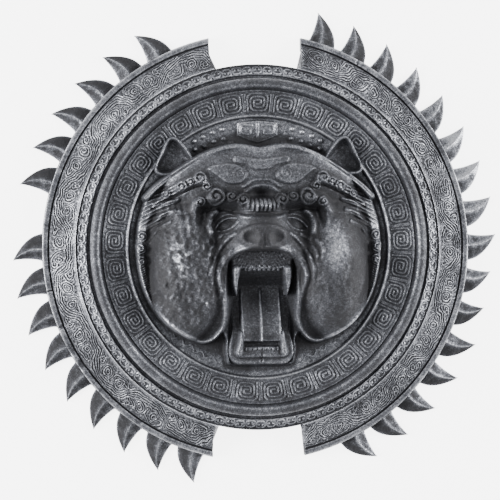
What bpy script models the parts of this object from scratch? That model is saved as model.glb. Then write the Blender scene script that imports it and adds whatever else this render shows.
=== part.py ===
"""A round dished shield in cast resin: a snarling bear head, fret bands and a rim of curved claws.

It lies face up. The origin is on the ground under the middle of the shield, +Z is the way the face
looks, +Y is the top of the head and +X is the right-hand side of someone who looks at the face.
"""

import math

import bmesh
import bpy
import numpy as np

MM = 0.001

# Floor of the dish and the rings round it, from the middle outwards, in metres
DISC_RADIUS = 0.1256
DISC_LEVEL = 0.0250
STEP_WIDTH = 0.0018
RIDGE_WIDTH = 0.0024
RIDGE_RISE = 0.0012
DRAFT = 0.0008
KEY_BAND_WIDTH = 0.0208
KEY_BAND_LEVEL = 0.0302
KEY_BAND_RISE = 0.0054
BEAD_RADIUS = 0.0051
BEAD_LEVEL = 0.0365
GROOVE_WIDTH = 0.0022
GROOVE_LEVEL = 0.0288
FRET_BAND_WIDTH = 0.0090
FRET_BAND_LEVEL = 0.0316
FRET_BAND_DROP = 0.0042
SWIRL_BAND_WIDTH = 0.0234
SWIRL_BAND_LEVEL = 0.0256
SWIRL_BAND_DROP = 0.0132
LIP_GROOVE_WIDTH = 0.0024
LIP_GROOVE_DEPTH = 0.0026
LIP_WIDTH = 0.0044
LIP_LEVEL = 0.0120
EDGE_HEIGHT = 0.0100
FOOT_WIDTH = 0.0120
FOOT_DRAFT = 0.0014
WALL = 0.0065
RING_STEPS = 40
BEAD_POINTS = 6

# Square notches at the top and the bottom of the rim
NOTCH_HALF_WIDTH = 0.0455
NOTCH_FILLET = 0.0060
NOTCH_FLOOR_MARGIN = 0.0012
NOTCH_ARC_POINTS = 6

# Claws round the edge
CLAW_POSITIONS = 40
CLAW_LENGTH = 0.0290
CLAW_WIDTH = 0.0272
CLAW_LEVEL = 0.0025
CLAW_RIDGE_LEVEL = 0.0095
CLAW_ROOT = 0.0030
CLAW_HOLLOW = 0.0016
CLAW_FULLNESS = 2.1
CLAW_FIRST_TIP = math.radians(74.5)
CLAW_TIP_LEVEL = 0.0042
CLAW_TIP_WIDTH = 0.0016
CLAW_SECTIONS = (0.0, 0.3, 0.6, 0.84, 1.0)
LOST_CLAW = 11
BLUNT_CLAWS = (31, 30)
BLUNT_SHARE = 0.86
CLAW_NOTCH_MARGIN = 0.0060

# Meander keys on the wide band
KEY_COUNT = 33
KEY_RIDGE_WIDTH = 0.0022
KEY_RIDGE_RISE = 0.0014
KEY_RIDGE_ROOT = 0.0006
KEY_SPIRAL = ((-0.40, -0.42), (-0.40, 0.42), (0.38, 0.42), (0.38, -0.34), (-0.10, -0.34), (-0.10, 0.12))
BURIED = 0.0020

# Head, whose forms are in head units: the floor's radius is 125.6 and the nose stands 66.5 high
HEAD_UNITS = 125.6
HEAD_HEIGHT = 0.0645
HEAD_HEIGHT_UNITS = 66.5
HEAD_TRIANGLES = 2300
HEAD_GRID = 0.0022
HOLLOW_TRIANGLES = 400
HOLLOW_GRID = 0.0040
HOLLOW_SLOPE = 2.2
HOLLOW_RINGS = (0.0, 0.34, 0.67, 0.94, 1.5, 2.2, 3.0, 4.0)
GROUND_SINK = 0.0008

# Ears, cap studs and cap plate
EAR_HEIGHT = 0.0175
EAR_RIM = 3.2
STUD_RADIUS = 0.0028
STUD_HEIGHT = 0.0030
STUD_SIDES = 5
CAP_PLATE_HEIGHT = 0.0030

# Hand grip and its strap, behind the head
GRIP_OFFSET = 0.034
GRIP_LENGTH = 0.118
GRIP_WIDTH = 0.025
GRIP_THICKNESS = 0.020
GRIP_LEVEL = 0.0030
STRAP_WIDTH = 0.0150
STRAP_THICKNESS = 0.0035
STRAP_END_WIDTH = 0.0240
PAD_RADIUS = 0.0112
PAD_MARGIN = 0.0085
PAD_DROP = 0.0032
SCREW_RADIUS = 0.0025
SCREW_HEAD_RADIUS = 0.0050
SCREW_HEAD_HEIGHT = 0.0028
SCREW_BITE = 0.0060
CLEARANCE = 0.0003

unit = DISC_RADIUS / HEAD_UNITS
rise_unit = HEAD_HEIGHT / HEAD_HEIGHT_UNITS


def clear_scene():
    for obj in list(bpy.data.objects):
        bpy.data.objects.remove(obj, do_unlink=True)


def material(name, colour, roughness, metallic):
    made = bpy.data.materials.new(name)
    made.use_nodes = True
    shader = made.node_tree.nodes["Principled BSDF"]
    shader.inputs["Base Color"].default_value = (*colour, 1.0)
    shader.inputs["Roughness"].default_value = roughness
    shader.inputs["Metallic"].default_value = metallic
    return made


def collection(name):
    made = bpy.data.collections.new(name)
    bpy.context.scene.collection.children.link(made)
    return made


def mesh_object(name, made, home, slot=None):
    """An object for a finished bmesh, which is freed."""
    mesh = bpy.data.meshes.new(name)
    bmesh.ops.recalc_face_normals(made, faces=made.faces)
    made.to_mesh(mesh)
    made.free()
    obj = bpy.data.objects.new(name, mesh)
    home.objects.link(obj)
    if slot:
        mesh.materials.append(slot)
    return obj


def helper(obj):
    obj.hide_render = True
    obj.display_type = "WIRE"
    return obj


def boolean(obj, other, operation, solver="EXACT"):
    modifier = obj.modifiers.new(other.name, "BOOLEAN")
    modifier.operation = operation
    modifier.solver = solver
    modifier.object = other


def applied(obj):
    """The object with its modifiers made part of its mesh."""
    graph = bpy.context.evaluated_depsgraph_get()
    mesh = bpy.data.meshes.new_from_object(obj.evaluated_get(graph))
    old = obj.data
    obj.modifiers.clear()
    obj.data = mesh
    if old.users == 0:
        bpy.data.meshes.remove(old)
    return obj


def turned(name, profile, steps, home, slot=None):
    """A solid turned about Z from a profile of (radius, height) that starts and ends on the axis."""
    made = bmesh.new()
    points = [made.verts.new((radius, 0.0, level)) for radius, level in profile]
    for first, second in zip(points, points[1:]):
        made.edges.new((first, second))
    mesh = bpy.data.meshes.new(name)
    made.to_mesh(mesh)
    made.free()
    obj = bpy.data.objects.new(name, mesh)
    home.objects.link(obj)
    if slot:
        mesh.materials.append(slot)
    screw = obj.modifiers.new("Turn", "SCREW")
    screw.steps = steps
    screw.render_steps = steps
    screw.use_merge_vertices = True
    screw.merge_threshold = 1e-5
    return obj


def add_loft(made, rings):
    """Joins rings of equally many points with faces and closes both ends."""
    rows = [[made.verts.new(point) for point in ring] for ring in rings]
    count = len(rows[0])
    for lower, upper in zip(rows, rows[1:]):
        for i in range(count):
            j = (i + 1) % count
            made.faces.new((lower[i], lower[j], upper[j], upper[i]))
    made.faces.new(rows[0][::-1])
    made.faces.new(rows[-1])


def add_prism(made, outline, low, high):
    add_loft(made, [[(x, y, low) for x, y in outline], [(x, y, high) for x, y in outline]])


# Rings

def front_profile():
    """(radius, height) of the front, from the middle of the floor out to the edge."""
    radius = DISC_RADIUS
    points = [(0.0, DISC_LEVEL), (radius, DISC_LEVEL)]

    def go(width, level):
        nonlocal radius
        radius += width
        points.append((radius, level))

    key_top = KEY_BAND_LEVEL + KEY_BAND_RISE
    fret_low = FRET_BAND_LEVEL - FRET_BAND_DROP
    go(STEP_WIDTH, KEY_BAND_LEVEL + RIDGE_RISE)
    go(RIDGE_WIDTH, KEY_BAND_LEVEL)
    go(KEY_BAND_WIDTH, key_top)
    go(RIDGE_WIDTH / 2, key_top + RIDGE_RISE)
    go(RIDGE_WIDTH / 2, key_top)
    middle = radius + DRAFT + BEAD_RADIUS
    for angle in np.linspace(math.radians(170), math.radians(-25), BEAD_POINTS):
        points.append((middle + BEAD_RADIUS * math.cos(angle), BEAD_LEVEL + BEAD_RADIUS * math.sin(angle)))
    radius = middle + BEAD_RADIUS
    go(DRAFT, GROOVE_LEVEL)
    go(GROOVE_WIDTH, GROOVE_LEVEL)
    go(DRAFT, FRET_BAND_LEVEL)
    go(FRET_BAND_WIDTH, fret_low)
    go(RIDGE_WIDTH / 2, fret_low + RIDGE_RISE)
    go(RIDGE_WIDTH / 2, SWIRL_BAND_LEVEL)
    go(SWIRL_BAND_WIDTH, SWIRL_BAND_LEVEL - SWIRL_BAND_DROP)
    go(LIP_GROOVE_WIDTH / 2, LIP_LEVEL - LIP_GROOVE_DEPTH)
    go(LIP_GROOVE_WIDTH / 2, LIP_LEVEL)
    go(LIP_WIDTH, LIP_LEVEL)
    go(DRAFT, EDGE_HEIGHT)
    return points


FRONT = np.array(front_profile())
RIM_RADIUS = FRONT[-1, 0]
SWIRL_INNER = RIM_RADIUS - DRAFT - LIP_WIDTH - LIP_GROOVE_WIDTH - SWIRL_BAND_WIDTH
KEY_INNER = DISC_RADIUS + STEP_WIDTH + RIDGE_WIDTH
KEY_OUTER = KEY_INNER + KEY_BAND_WIDTH


def front_level(radius):
    return np.interp(radius, FRONT[:, 0], FRONT[:, 1])


def back_level(radius):
    """The front less the wall, measured square to the surface: the lowest ball of the wall's radius."""
    shift = np.linspace(-WALL, WALL, 41)
    return float(np.min(front_level(radius + shift) - np.sqrt(WALL**2 - shift**2)))


def ring_profile():
    foot = RIM_RADIUS - FOOT_WIDTH
    back = [foot - FOOT_DRAFT, SWIRL_INNER, KEY_OUTER + BEAD_RADIUS * 2.6, KEY_OUTER, KEY_INNER, DISC_RADIUS - WALL]
    points = [tuple(point) for point in FRONT]
    points += [(RIM_RADIUS, 0.0), (foot, 0.0)]
    points += [(radius, back_level(radius)) for radius in back]
    points.append((0.0, DISC_LEVEL - WALL - BURIED))
    return points


def notch_cutter(name, side, home):
    """A square notch from past the rim in to an arc along the swirl band's inner border."""
    floor = SWIRL_INNER - NOTCH_FLOOR_MARGIN
    outside = RIM_RADIUS + CLAW_LENGTH
    half = NOTCH_HALF_WIDTH
    corner = math.sqrt((floor + NOTCH_FILLET) ** 2 - (half - NOTCH_FILLET) ** 2)
    lean = math.atan2(half - NOTCH_FILLET, corner)
    fillet = [
        (
            half - NOTCH_FILLET + NOTCH_FILLET * math.cos(angle),
            corner + NOTCH_FILLET * math.sin(angle),
        )
        for angle in np.linspace(0.0, -math.pi / 2 - lean, 4)
    ]
    arc = [
        (floor * math.sin(angle), floor * math.cos(angle))
        for angle in np.linspace(lean, -lean, NOTCH_ARC_POINTS)[1:-1]
    ]
    mirrored = [(-x, y) for x, y in reversed(fillet)]
    outline = [(half, outside), *fillet, *arc, *mirrored, (-half, outside)]
    made = bmesh.new()
    add_prism(made, [(side * x, side * y) for x, y in outline], -FOOT_WIDTH, BEAD_LEVEL)
    return helper(mesh_object(name, made, home))


# Claws

def claw_angles():
    """Tip angle and place in the row of each claw that is there: none in the notches, one broken off."""
    pitch = 2 * math.pi / CLAW_POSITIONS
    half_base = CLAW_WIDTH / 2 / RIM_RADIUS
    clear = math.asin((NOTCH_HALF_WIDTH + CLAW_NOTCH_MARGIN) / RIM_RADIUS) + half_base
    for index in range(CLAW_POSITIONS):
        angle = CLAW_FIRST_TIP + index * pitch
        base = angle - 0.4 * CLAW_WIDTH / RIM_RADIUS
        in_notch = abs(math.cos(base)) < math.sin(clear)
        if not in_notch and index != LOST_CLAW:
            yield index, angle


def add_claw(made, tip_angle, length):
    """A flat-backed claw whose tip sweeps anticlockwise, with a ridge from its root to its tip."""
    trailing = tip_angle - 0.90 * CLAW_WIDTH / RIM_RADIUS
    leading = tip_angle + 0.10 * CLAW_WIDTH / RIM_RADIUS
    rings = []
    for share in CLAW_SECTIONS:
        radius = RIM_RADIUS - CLAW_ROOT + (CLAW_ROOT + length) * share
        start = trailing + (tip_angle - trailing) * share**CLAW_FULLNESS
        end = leading + (tip_angle - leading) * share - CLAW_HOLLOW / radius * math.sin(share * math.pi)
        end = max(end, start + CLAW_TIP_WIDTH / radius)
        top = CLAW_RIDGE_LEVEL + (CLAW_TIP_LEVEL - CLAW_RIDGE_LEVEL) * share
        corners = ((start, CLAW_LEVEL), (0.45 * start + 0.55 * end, top), (end, CLAW_LEVEL))
        rings.append([(radius * math.cos(angle), radius * math.sin(angle), level) for angle, level in corners])
    add_loft(made, rings)


def claws(home):
    made = bmesh.new()
    for index, angle in claw_angles():
        add_claw(made, angle, CLAW_LENGTH * (BLUNT_SHARE if index in BLUNT_CLAWS else 1.0))
    return helper(mesh_object("claw_row", made, home))


# Meander keys

def add_ribbon(made, points, width, root, crest):
    """A ridge with one crest along an open path of (x, y, level), its corners mitred."""
    path = np.array([point[:2] for point in points])
    levels = [point[2] for point in points]
    steps = np.diff(path, axis=0)
    steps /= np.linalg.norm(steps, axis=1)[:, None]
    normals = np.stack([-steps[:, 1], steps[:, 0]], axis=1)
    half = width / 2 * (crest + root) / crest
    rings = []
    for i, (x, y) in enumerate(path):
        before = normals[max(i - 1, 0)]
        after = normals[min(i, len(normals) - 1)]
        mitre = before + after
        mitre = mitre / (mitre @ before) * half
        left = (x + mitre[0], y + mitre[1], levels[i] - root)
        right = (x - mitre[0], y - mitre[1], levels[i] - root)
        rings.append([left, (x, y, levels[i] + crest), right])
    add_loft(made, rings)


def keys(home):
    """One square spiral in each cell of the wide band."""
    made = bmesh.new()
    pitch = 2 * math.pi / KEY_COUNT
    for index in range(KEY_COUNT):
        middle = math.pi / 2 + index * pitch
        points = []
        for along, across in KEY_SPIRAL:
            angle = middle - along * pitch
            radius = KEY_INNER + (0.5 + across) * KEY_BAND_WIDTH
            level = KEY_BAND_LEVEL + (0.5 + across) * KEY_BAND_RISE
            points.append((radius * math.cos(angle), radius * math.sin(angle), level))
        add_ribbon(made, points, KEY_RIDGE_WIDTH, KEY_RIDGE_ROOT, KEY_RIDGE_RISE)
    return helper(mesh_object("key_ridges", made, home))


# Head, in head units. The face is the same on both sides, so most paths give its right half.

def ramp(value, low, high):
    share = np.clip((value - low) / (high - low), 0, 1)
    return share * share * (3 - 2 * share)


def bump(distance, width):
    share = np.clip(np.abs(distance) / width, 0, 1)
    return (1 - share * share) ** 2


def blend(first, second, width):
    """The higher of two surfaces, with a fillet where they cross."""
    share = np.clip(0.5 + 0.5 * (first - second) / width, 0, 1)
    return second + (first - second) * share + width * share * (1 - share)


def oval(x, y, middle, radii, turn=0.0):
    """Distance from the middle of an oval, 1 on its edge."""
    angle = math.radians(turn)
    along = (x - middle[0]) * math.cos(angle) + (y - middle[1]) * math.sin(angle)
    across = (y - middle[1]) * math.cos(angle) - (x - middle[0]) * math.sin(angle)
    return np.hypot(along / radii[0], across / radii[1])


def dome(distance, power=0.5):
    return np.clip(1 - distance * distance, 0, 1) ** power


def curve(points, per_span=6):
    """A smooth line through the points."""
    given = np.array(points, float)
    ends = np.vstack([2 * given[0] - given[1], given, 2 * given[-1] - given[-2]])
    made = []
    for a, b, c, d in zip(ends, ends[1:], ends[2:], ends[3:]):
        share = np.linspace(0, 1, per_span, endpoint=False)[:, None]
        bend = (c - a) * share + (2 * a - 5 * b + 4 * c - d) * share**2 + (3 * b - a - 3 * c + d) * share**3
        made.append(b + 0.5 * bend)
    return np.vstack([*made, given[-1:]])


def along_path(x, y, path):
    """Distance to a path, and the share of its length at the nearest point."""
    spans = np.diff(path, axis=0)
    lengths = np.hypot(spans[:, 0], spans[:, 1])
    starts = np.concatenate([[0], np.cumsum(lengths)])
    nearest = np.full(x.shape, np.inf)
    place = np.zeros(x.shape)
    for start, span, length, done in zip(path, spans, lengths, starts):
        if length == 0:
            continue
        share = np.clip(((x - start[0]) * span[0] + (y - start[1]) * span[1]) / length**2, 0, 1)
        away = np.hypot(x - start[0] - share * span[0], y - start[1] - share * span[1])
        closer = away < nearest
        nearest = np.where(closer, away, nearest)
        place = np.where(closer, (done + share * length) / starts[-1], place)
    return nearest, place


def inside(x, y, outline):
    found = np.zeros(x.shape, bool)
    for (x0, y0), (x1, y1) in zip(outline, np.roll(outline, -1, axis=0)):
        if y0 != y1:
            found ^= ((y0 > y) != (y1 > y)) & (x < x0 + (y - y0) * (x1 - x0) / (y1 - y0))
    return found


def both_sides(path):
    """A half outline that starts and ends near the middle, closed by its mirror image."""
    return np.vstack([path, (path * (-1, 1))[::-1]])


LIP = curve([(24, -0.5), (33, -6), (39.5, -14), (42.3, -24), (39.6, -39), (35, -56), (34.6, -72), (41.5, -86.5),
             (55, -92.7), (75, -85.5), (95.6, -69.5), (109.4, -48), (117, -22), (119.5, 2)])
MANE_EDGE = curve([(119.5, 2), (117.5, 22), (110, 48.5)])
ARCH = curve([(0, 93.2), (25, 96.8), (51, 90), (77, 75), (98, 60), (110, 48.5)])
HEAD_OUTLINE = both_sides(np.vstack([LIP, MANE_EDGE[1:], ARCH[::-1][1:]]))
MOUTH = curve([(0, -2.4), (12, -2.6), (22, -5), (30, -10.5), (35.5, -18), (37.8, -26), (35.4, -39.5), (30.8, -56),
               (30.2, -72), (33, -84), (36.5, -96), (36, -108), (30, -118.5), (0, -120)])
BROW = curve([(0, 41), (10, 41.5), (24, 44.5), (40, 46), (55, 45.5), (64, 38), (66, 27)])
LOCK = np.vstack([curve([(52, 69.5), (66, 70), (80, 64.5), (93, 55.5), (104, 42)]),
                  curve([(104, 38.5), (90, 45.5), (76, 52.5), (62, 58.5), (50, 60)])])
CLOUD = curve([(54, 75.5), (45, 68.5), (36, 61.6), (27, 59.6), (18.6, 61.4), (13.5, 66.6), (14, 73), (21, 79),
               (34, 80.5), (46, 79), (54, 75.5)])

# Broad forms: middle, radii, turn, height, power of the dome
FORMS = (
    ((0, 8), (121, 112), 0, 36, 0.6),
    ((68, -20), (39, 72), 4, 47, 0.45),
    ((0, -4), (56, 50), 0, 50, 0.42),
    ((0, 10), (34, 44), 0, 61, 0.36),
    ((0, 66), (98, 42), 0, 44, 0.38),
)

# Folds: path, half width, height
FOLDS = (
    (((42, 35), (48.5, 29), (51.5, 20), (50, 9)), 4.0, 4.5),
    (((27, 13), (37, 6), (46, -6), (50.5, -20), (50, -34)), 3.8, 2.6),
    (((36, 14), (47, 3), (56, -9)), 3.2, 1.8),
    (((0, 59.3), (8, 58), (15, 53)), 3.4, 3.2),
)

# Curls of the brow and of the lock beside it: middle, radius, height
CURLS = (
    ((45, 48.7), 8.6, 7.5),
    ((29.5, 48.6), 5.6, 6.0),
    ((18.5, 46), 6.2, 6.0),
    ((59.5, 43.5), 5.4, 5.5),
    ((59.6, 66.6), 6.6, 5.5),
    ((77, 59), 5.6, 4.5),
    ((91.5, 52), 4.8, 4.0),
    ((4.5, 40.6), 4.2, 5.0),
    ((12.5, 40.4), 4.2, 4.5),
)


def fang(x, y, root, tip, width, low, high):
    """A tooth from its root to its tip, in plan, with its height at both ends."""
    span = np.subtract(tip, root)
    share = np.clip(((x - root[0]) * span[0] + (y - root[1]) * span[1]) / (span @ span), 0, 1)
    away = np.hypot(x - root[0] - share * span[0], y - root[1] - share * span[1])
    half = width + (0.8 - width) * share**1.3
    return np.where(away < half, (low + (high - low) * share) * dome(away / half, 0.25), 0)


def mouth_height(side, x, y):
    """Gums, teeth, tongue and jaw over the floor of the mouth."""
    down = -y
    level = np.full(x.shape, 2.0)
    gum = 29 * ramp(down, 0, 6) * (1 - ramp(down, 22, 24.5)) * (1 - ramp(side, 24.5, 29))
    level = blend(level, gum, 2)
    teeth = 33 * ramp(down, 15.5, 18.5) * (1 - ramp(down, 22, 25)) * (1 - ramp(side, 17, 19))
    level = blend(level, teeth, 0.6)
    jaw = (9 + 9 * ramp(down, 62, 100)) * ramp(down, 40, 62) * (1 - ramp(down, 113.5, 118))
    flare = 4.5 * ramp(down, 84, 100)
    level = blend(level, jaw * (1 - ramp(side, 26.5 + flare, 29.5 + flare)), 2)
    tongue = 5 + 20 * ramp(down, 36, 88) + 2.6 * (side / 20) ** 2 + 2.2 * bump(x, 3.4)
    tongue *= (1 - ramp(side, 18.8, 21.5)) * (1 - ramp(down, 90.5, 94.5)) * ramp(down, 34, 42)
    level = blend(level, tongue, 1.2)
    chin = 27 * ramp(down, 93.8, 96.5) * (1 - ramp(down, 106, 118)) * (1 - ramp(side, 24, 34))
    level = blend(level, chin, 2)
    level = blend(level, fang(side, y, (24.5, -21), (24.2, -45), 5.0, 39, 33), 0.8)
    return blend(level, fang(side, y, (21.8, -101.5), (20.4, -81.5), 5.2, 30, 33), 0.8)


def head_height(x, y):
    """Height of the head over the floor of the dish, in head units."""
    side = np.abs(x)
    level = np.full(x.shape, 9.0)
    for middle, radii, turn, height, power in FORMS:
        level = blend(level, height * dome(oval(side, y, middle, radii, turn), power), 7)
    level -= 15 * bump(oval(side, y, (47, 30), (22, 13), -18), 1)
    level -= 8 * bump(oval(side, y, (30, 24), (15, 11), -20), 1)
    level += 5.5 * dome(oval(side, y, (34.5, 21.5), (10.8, 5.3), -28.5))
    for path, width, height in FOLDS:
        away, place = along_path(side, y, curve(path))
        level += height * bump(away, width) * (1 - 0.7 * ramp(place, 0.75, 1.0))
    away, place = along_path(side, y, BROW)
    level += 9 * bump(away, 8.5) * (1 - ramp(place, 0.8, 1.0))
    for middle, radius, height in CURLS:
        level += height * dome(oval(side, y, middle, (radius, radius)), 0.6)
    level -= 8 * bump(oval(x, y, (0, 51), (12, 6.5)), 1)
    for outline, height, width in ((LOCK, 4.0, 3.0), (CLOUD, 2.8, 2.0)):
        away, place = along_path(side, y, outline)
        level += np.where(inside(side, y, outline), height * ramp(away, 0, width), 0)
    nose = oval(x, y, (0, 10.8), (26.5, 12.2))
    level += 7 * ramp(1 - nose, -0.06, 0.16) - 3 * bump(nose - 1.16, 0.2) * ramp(y, 6, 14)
    level -= 13 * bump(oval(side, y, (14.8, 7.4), (8.6, 6.8), -12), 1)
    away, place = along_path(side, y, LIP)
    level += (6.0 - 2.2 * ramp(place, 0.35, 0.7)) * bump(away, 5.6) * ramp(place, 0.0, 0.06)

    away, place = along_path(x, y, HEAD_OUTLINE)
    depth = np.where(inside(x, y, HEAD_OUTLINE), away, -away)
    ground = -GROUND_SINK / rise_unit
    level = ground + (level - ground) * ramp(depth, -2.6, 2.2)
    away, place = along_path(side, y, ARCH)
    level = blend(level, (37 - 16 * ramp(side, 30, 112)) * dome(away / 4.6, 0.35), 1.5)

    away, place = along_path(side, y, MOUTH)
    into = np.where(inside(x, y, both_sides(MOUTH)), away, -away)
    wall = ramp(into, -0.2, 2.8)
    return level * (1 - wall) + mouth_height(side, x, y) * wall


def grid_body(name, radius, step, far_level, surface, triangles, home):
    """A round solid between a flat side and a surface of heights, thinned to so many triangles."""
    count = round(2 * radius / step)
    made = bmesh.new()
    bmesh.ops.create_grid(made, x_segments=count, y_segments=count, size=radius)
    flat = np.array([vert.co[:2] for vert in made.verts])
    spread = np.max(np.abs(flat), axis=1) / np.maximum(np.hypot(flat[:, 0], flat[:, 1]), 1e-9)
    flat *= spread[:, None]
    heights = surface(flat[:, 0], flat[:, 1])
    for vert, (x, y), height in zip(made.verts, flat, heights):
        vert.co = (x, y, height)
    body = mesh_object(name, made, home)
    thin = body.modifiers.new("Thin", "DECIMATE")
    thin.ratio = triangles / (2 * count * count)
    applied(body)
    made = bmesh.new()
    made.from_mesh(body.data)
    border = [edge for edge in made.edges if edge.is_boundary]
    wall = bmesh.ops.extrude_edge_only(made, edges=border)["geom"]
    low = [item for item in wall if isinstance(item, bmesh.types.BMVert)]
    for vert in low:
        vert.co.z = far_level
    bmesh.ops.contextual_create(made, geom=[edge for edge in made.edges if edge.is_boundary])
    bmesh.ops.triangulate(made, faces=made.faces)
    bmesh.ops.recalc_face_normals(made, faces=made.faces)
    made.to_mesh(body.data)
    made.free()
    return helper(body)


def relief_level(x, y):
    return DISC_LEVEL + rise_unit * head_height(x / unit, y / unit)


def hollow_level(x, y):
    """The back of the wall behind the head: the lowest ball of the wall's radius under the relief.

    Past the ball the hollow may only rise by its slope, and the screws' pads stay solid above.
    """
    lowest = np.full(x.shape, np.inf)
    for ring in HOLLOW_RINGS:
        drop = math.sqrt(1 - ring**2) if ring < 1 else -HOLLOW_SLOPE * (ring - 1)
        for turn in range(12 if ring else 1):
            angle = turn * math.pi / 6
            near_x = x + WALL * ring * math.cos(angle)
            near_y = y + WALL * ring * math.sin(angle)
            front = np.maximum(relief_level(near_x, near_y), DISC_LEVEL)
            lowest = np.minimum(lowest, front - WALL * drop)
    past_pad = np.hypot(np.abs(x) - PAD_X, y - GRIP_OFFSET) - PAD_RADIUS
    return np.minimum(lowest, DISC_LEVEL - WALL + HOLLOW_SLOPE * np.maximum(past_pad, 0))


def ear(name, side, home):
    """A three-cornered ear: a raised rim round a hollow."""
    outline = curve([(62, 84), (70.5, 98), (80, 107), (88, 106), (95.5, 92), (101, 73), (84, 70), (62, 84)], 2)[:-1]
    middle = outline.mean(axis=0)
    away = outline - middle
    reach = np.hypot(away[:, 0], away[:, 1])[:, None]
    tall = EAR_HEIGHT / unit
    rings = []
    for inset, level in ((0.0, -2.0), (EAR_RIM * 0.4, tall), (EAR_RIM, tall * 0.95), (EAR_RIM * 2.6, tall * 0.3)):
        ring = middle + away * np.maximum(1 - inset / reach, 0.1)
        rings.append([(side * x * unit, y * unit, DISC_LEVEL + level * unit) for x, y in ring])
    made = bmesh.new()
    add_loft(made, rings)
    return helper(mesh_object(name, made, home))


def cap_ornaments(home):
    """Studs and a pointed plate on the cap above the forehead."""
    made = bmesh.new()
    for x, y in ((62, 104), (47.5, 109.5), (52, 99), (36.5, 103.5), (32, 115), (22.5, 104.5)):
        for side in (-1, 1):
            circle = np.arange(STUD_SIDES) * 2 * math.pi / STUD_SIDES
            rings = []
            for share, level in ((1.0, -BURIED), (0.55, STUD_HEIGHT)):
                radius = STUD_RADIUS * share
                ring = [(side * x * unit + radius * math.cos(a), y * unit + radius * math.sin(a)) for a in circle]
                rings.append([(*point, DISC_LEVEL + level) for point in ring])
            add_loft(made, rings)
    plate = [(-20, 121.5), (-20, 108.5), (-8, 103.5), (0, 101), (8, 103.5), (20, 108.5), (20, 121.5), (0, 123.5)]
    outline = [(x * unit, y * unit) for x, y in plate]
    add_prism(made, outline, DISC_LEVEL - BURIED, DISC_LEVEL + CAP_PLATE_HEIGHT)
    return helper(mesh_object("cap_ornaments", made, home))


# Back: pads, grip, strap and screws

STRAP_TOP = DISC_LEVEL - WALL - PAD_DROP - CLEARANCE
STRAP_LOW = STRAP_TOP - STRAP_THICKNESS
PAD_X = math.sqrt((DISC_RADIUS - PAD_MARGIN) ** 2 - GRIP_OFFSET**2)


def cylinder(name, radius, low, high, place, segments, home):
    made = bmesh.new()
    bmesh.ops.create_cone(made, cap_ends=True, segments=segments, radius1=radius, radius2=radius, depth=high - low)
    bmesh.ops.translate(made, verts=made.verts, vec=(place[0], place[1], (low + high) / 2))
    return helper(mesh_object(name, made, home))


def shield(home, cutters, slot):
    """The whole moulding. The exact solver doubles edges where the rings' facets meet the notch floors."""
    obj = turned("shield", ring_profile(), RING_STEPS, home, slot)

    def join(other):
        boolean(obj, other, "UNION", "MANIFOLD")

    def cut(other):
        boolean(obj, other, "DIFFERENCE", "MANIFOLD")

    cut(notch_cutter("notch_top", 1, cutters))
    cut(notch_cutter("notch_bottom", -1, cutters))
    join(claws(cutters))
    join(keys(cutters))
    reach = DISC_RADIUS - GROUND_SINK
    sunk = DISC_LEVEL - 2 * GROUND_SINK
    join(grid_body("head_relief", reach, HEAD_GRID, sunk, relief_level, HEAD_TRIANGLES, cutters))
    join(ear("ear_right", 1, cutters))
    join(ear("ear_left", -1, cutters))
    join(cap_ornaments(cutters))
    reach = DISC_RADIUS - WALL / 4
    cut(grid_body("head_hollow", reach, HOLLOW_GRID, -FOOT_WIDTH, hollow_level, HOLLOW_TRIANGLES, cutters))
    pad_low, pad_top = STRAP_TOP + CLEARANCE, DISC_LEVEL - WALL / 2
    hole_top = pad_low + SCREW_BITE + CLEARANCE
    for name, side in (("pad_right", 1), ("pad_left", -1)):
        place = (side * PAD_X, GRIP_OFFSET)
        join(cylinder(name, PAD_RADIUS, pad_low, pad_top, place, 16, cutters))
        cut(cylinder(f"{name}_hole", SCREW_RADIUS + CLEARANCE, STRAP_LOW, hole_top, place, 12, cutters))
    return applied(obj)


def strap_outline():
    """The strap in plan: narrow inside the grip, wider outside it, with round ends."""
    shoulder = GRIP_LENGTH / 2 + CLEARANCE
    half, half_end = STRAP_WIDTH / 2, STRAP_END_WIDTH / 2
    turn = np.linspace(-math.pi / 2, math.pi / 2, 9)
    end = [(PAD_X + half_end * math.cos(a), half_end * math.sin(a)) for a in turn]
    right = [(shoulder, -half), (shoulder, -half_end), *end, (shoulder, half_end), (shoulder, half)]
    left = [(-x, -y) for x, y in right]
    return [(x, y + GRIP_OFFSET) for x, y in right + left]


def strap(home, cutters, slot):
    made = bmesh.new()
    add_prism(made, strap_outline(), STRAP_LOW, STRAP_TOP)
    obj = mesh_object("grip_strap", made, home, slot)
    for name, side in (("strap_hole_right", 1), ("strap_hole_left", -1)):
        place = (side * PAD_X, GRIP_OFFSET)
        hole = cylinder(name, SCREW_RADIUS + CLEARANCE, STRAP_LOW - WALL, STRAP_TOP + WALL, place, 12, cutters)
        boolean(obj, hole, "DIFFERENCE")
    return applied(obj)


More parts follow.
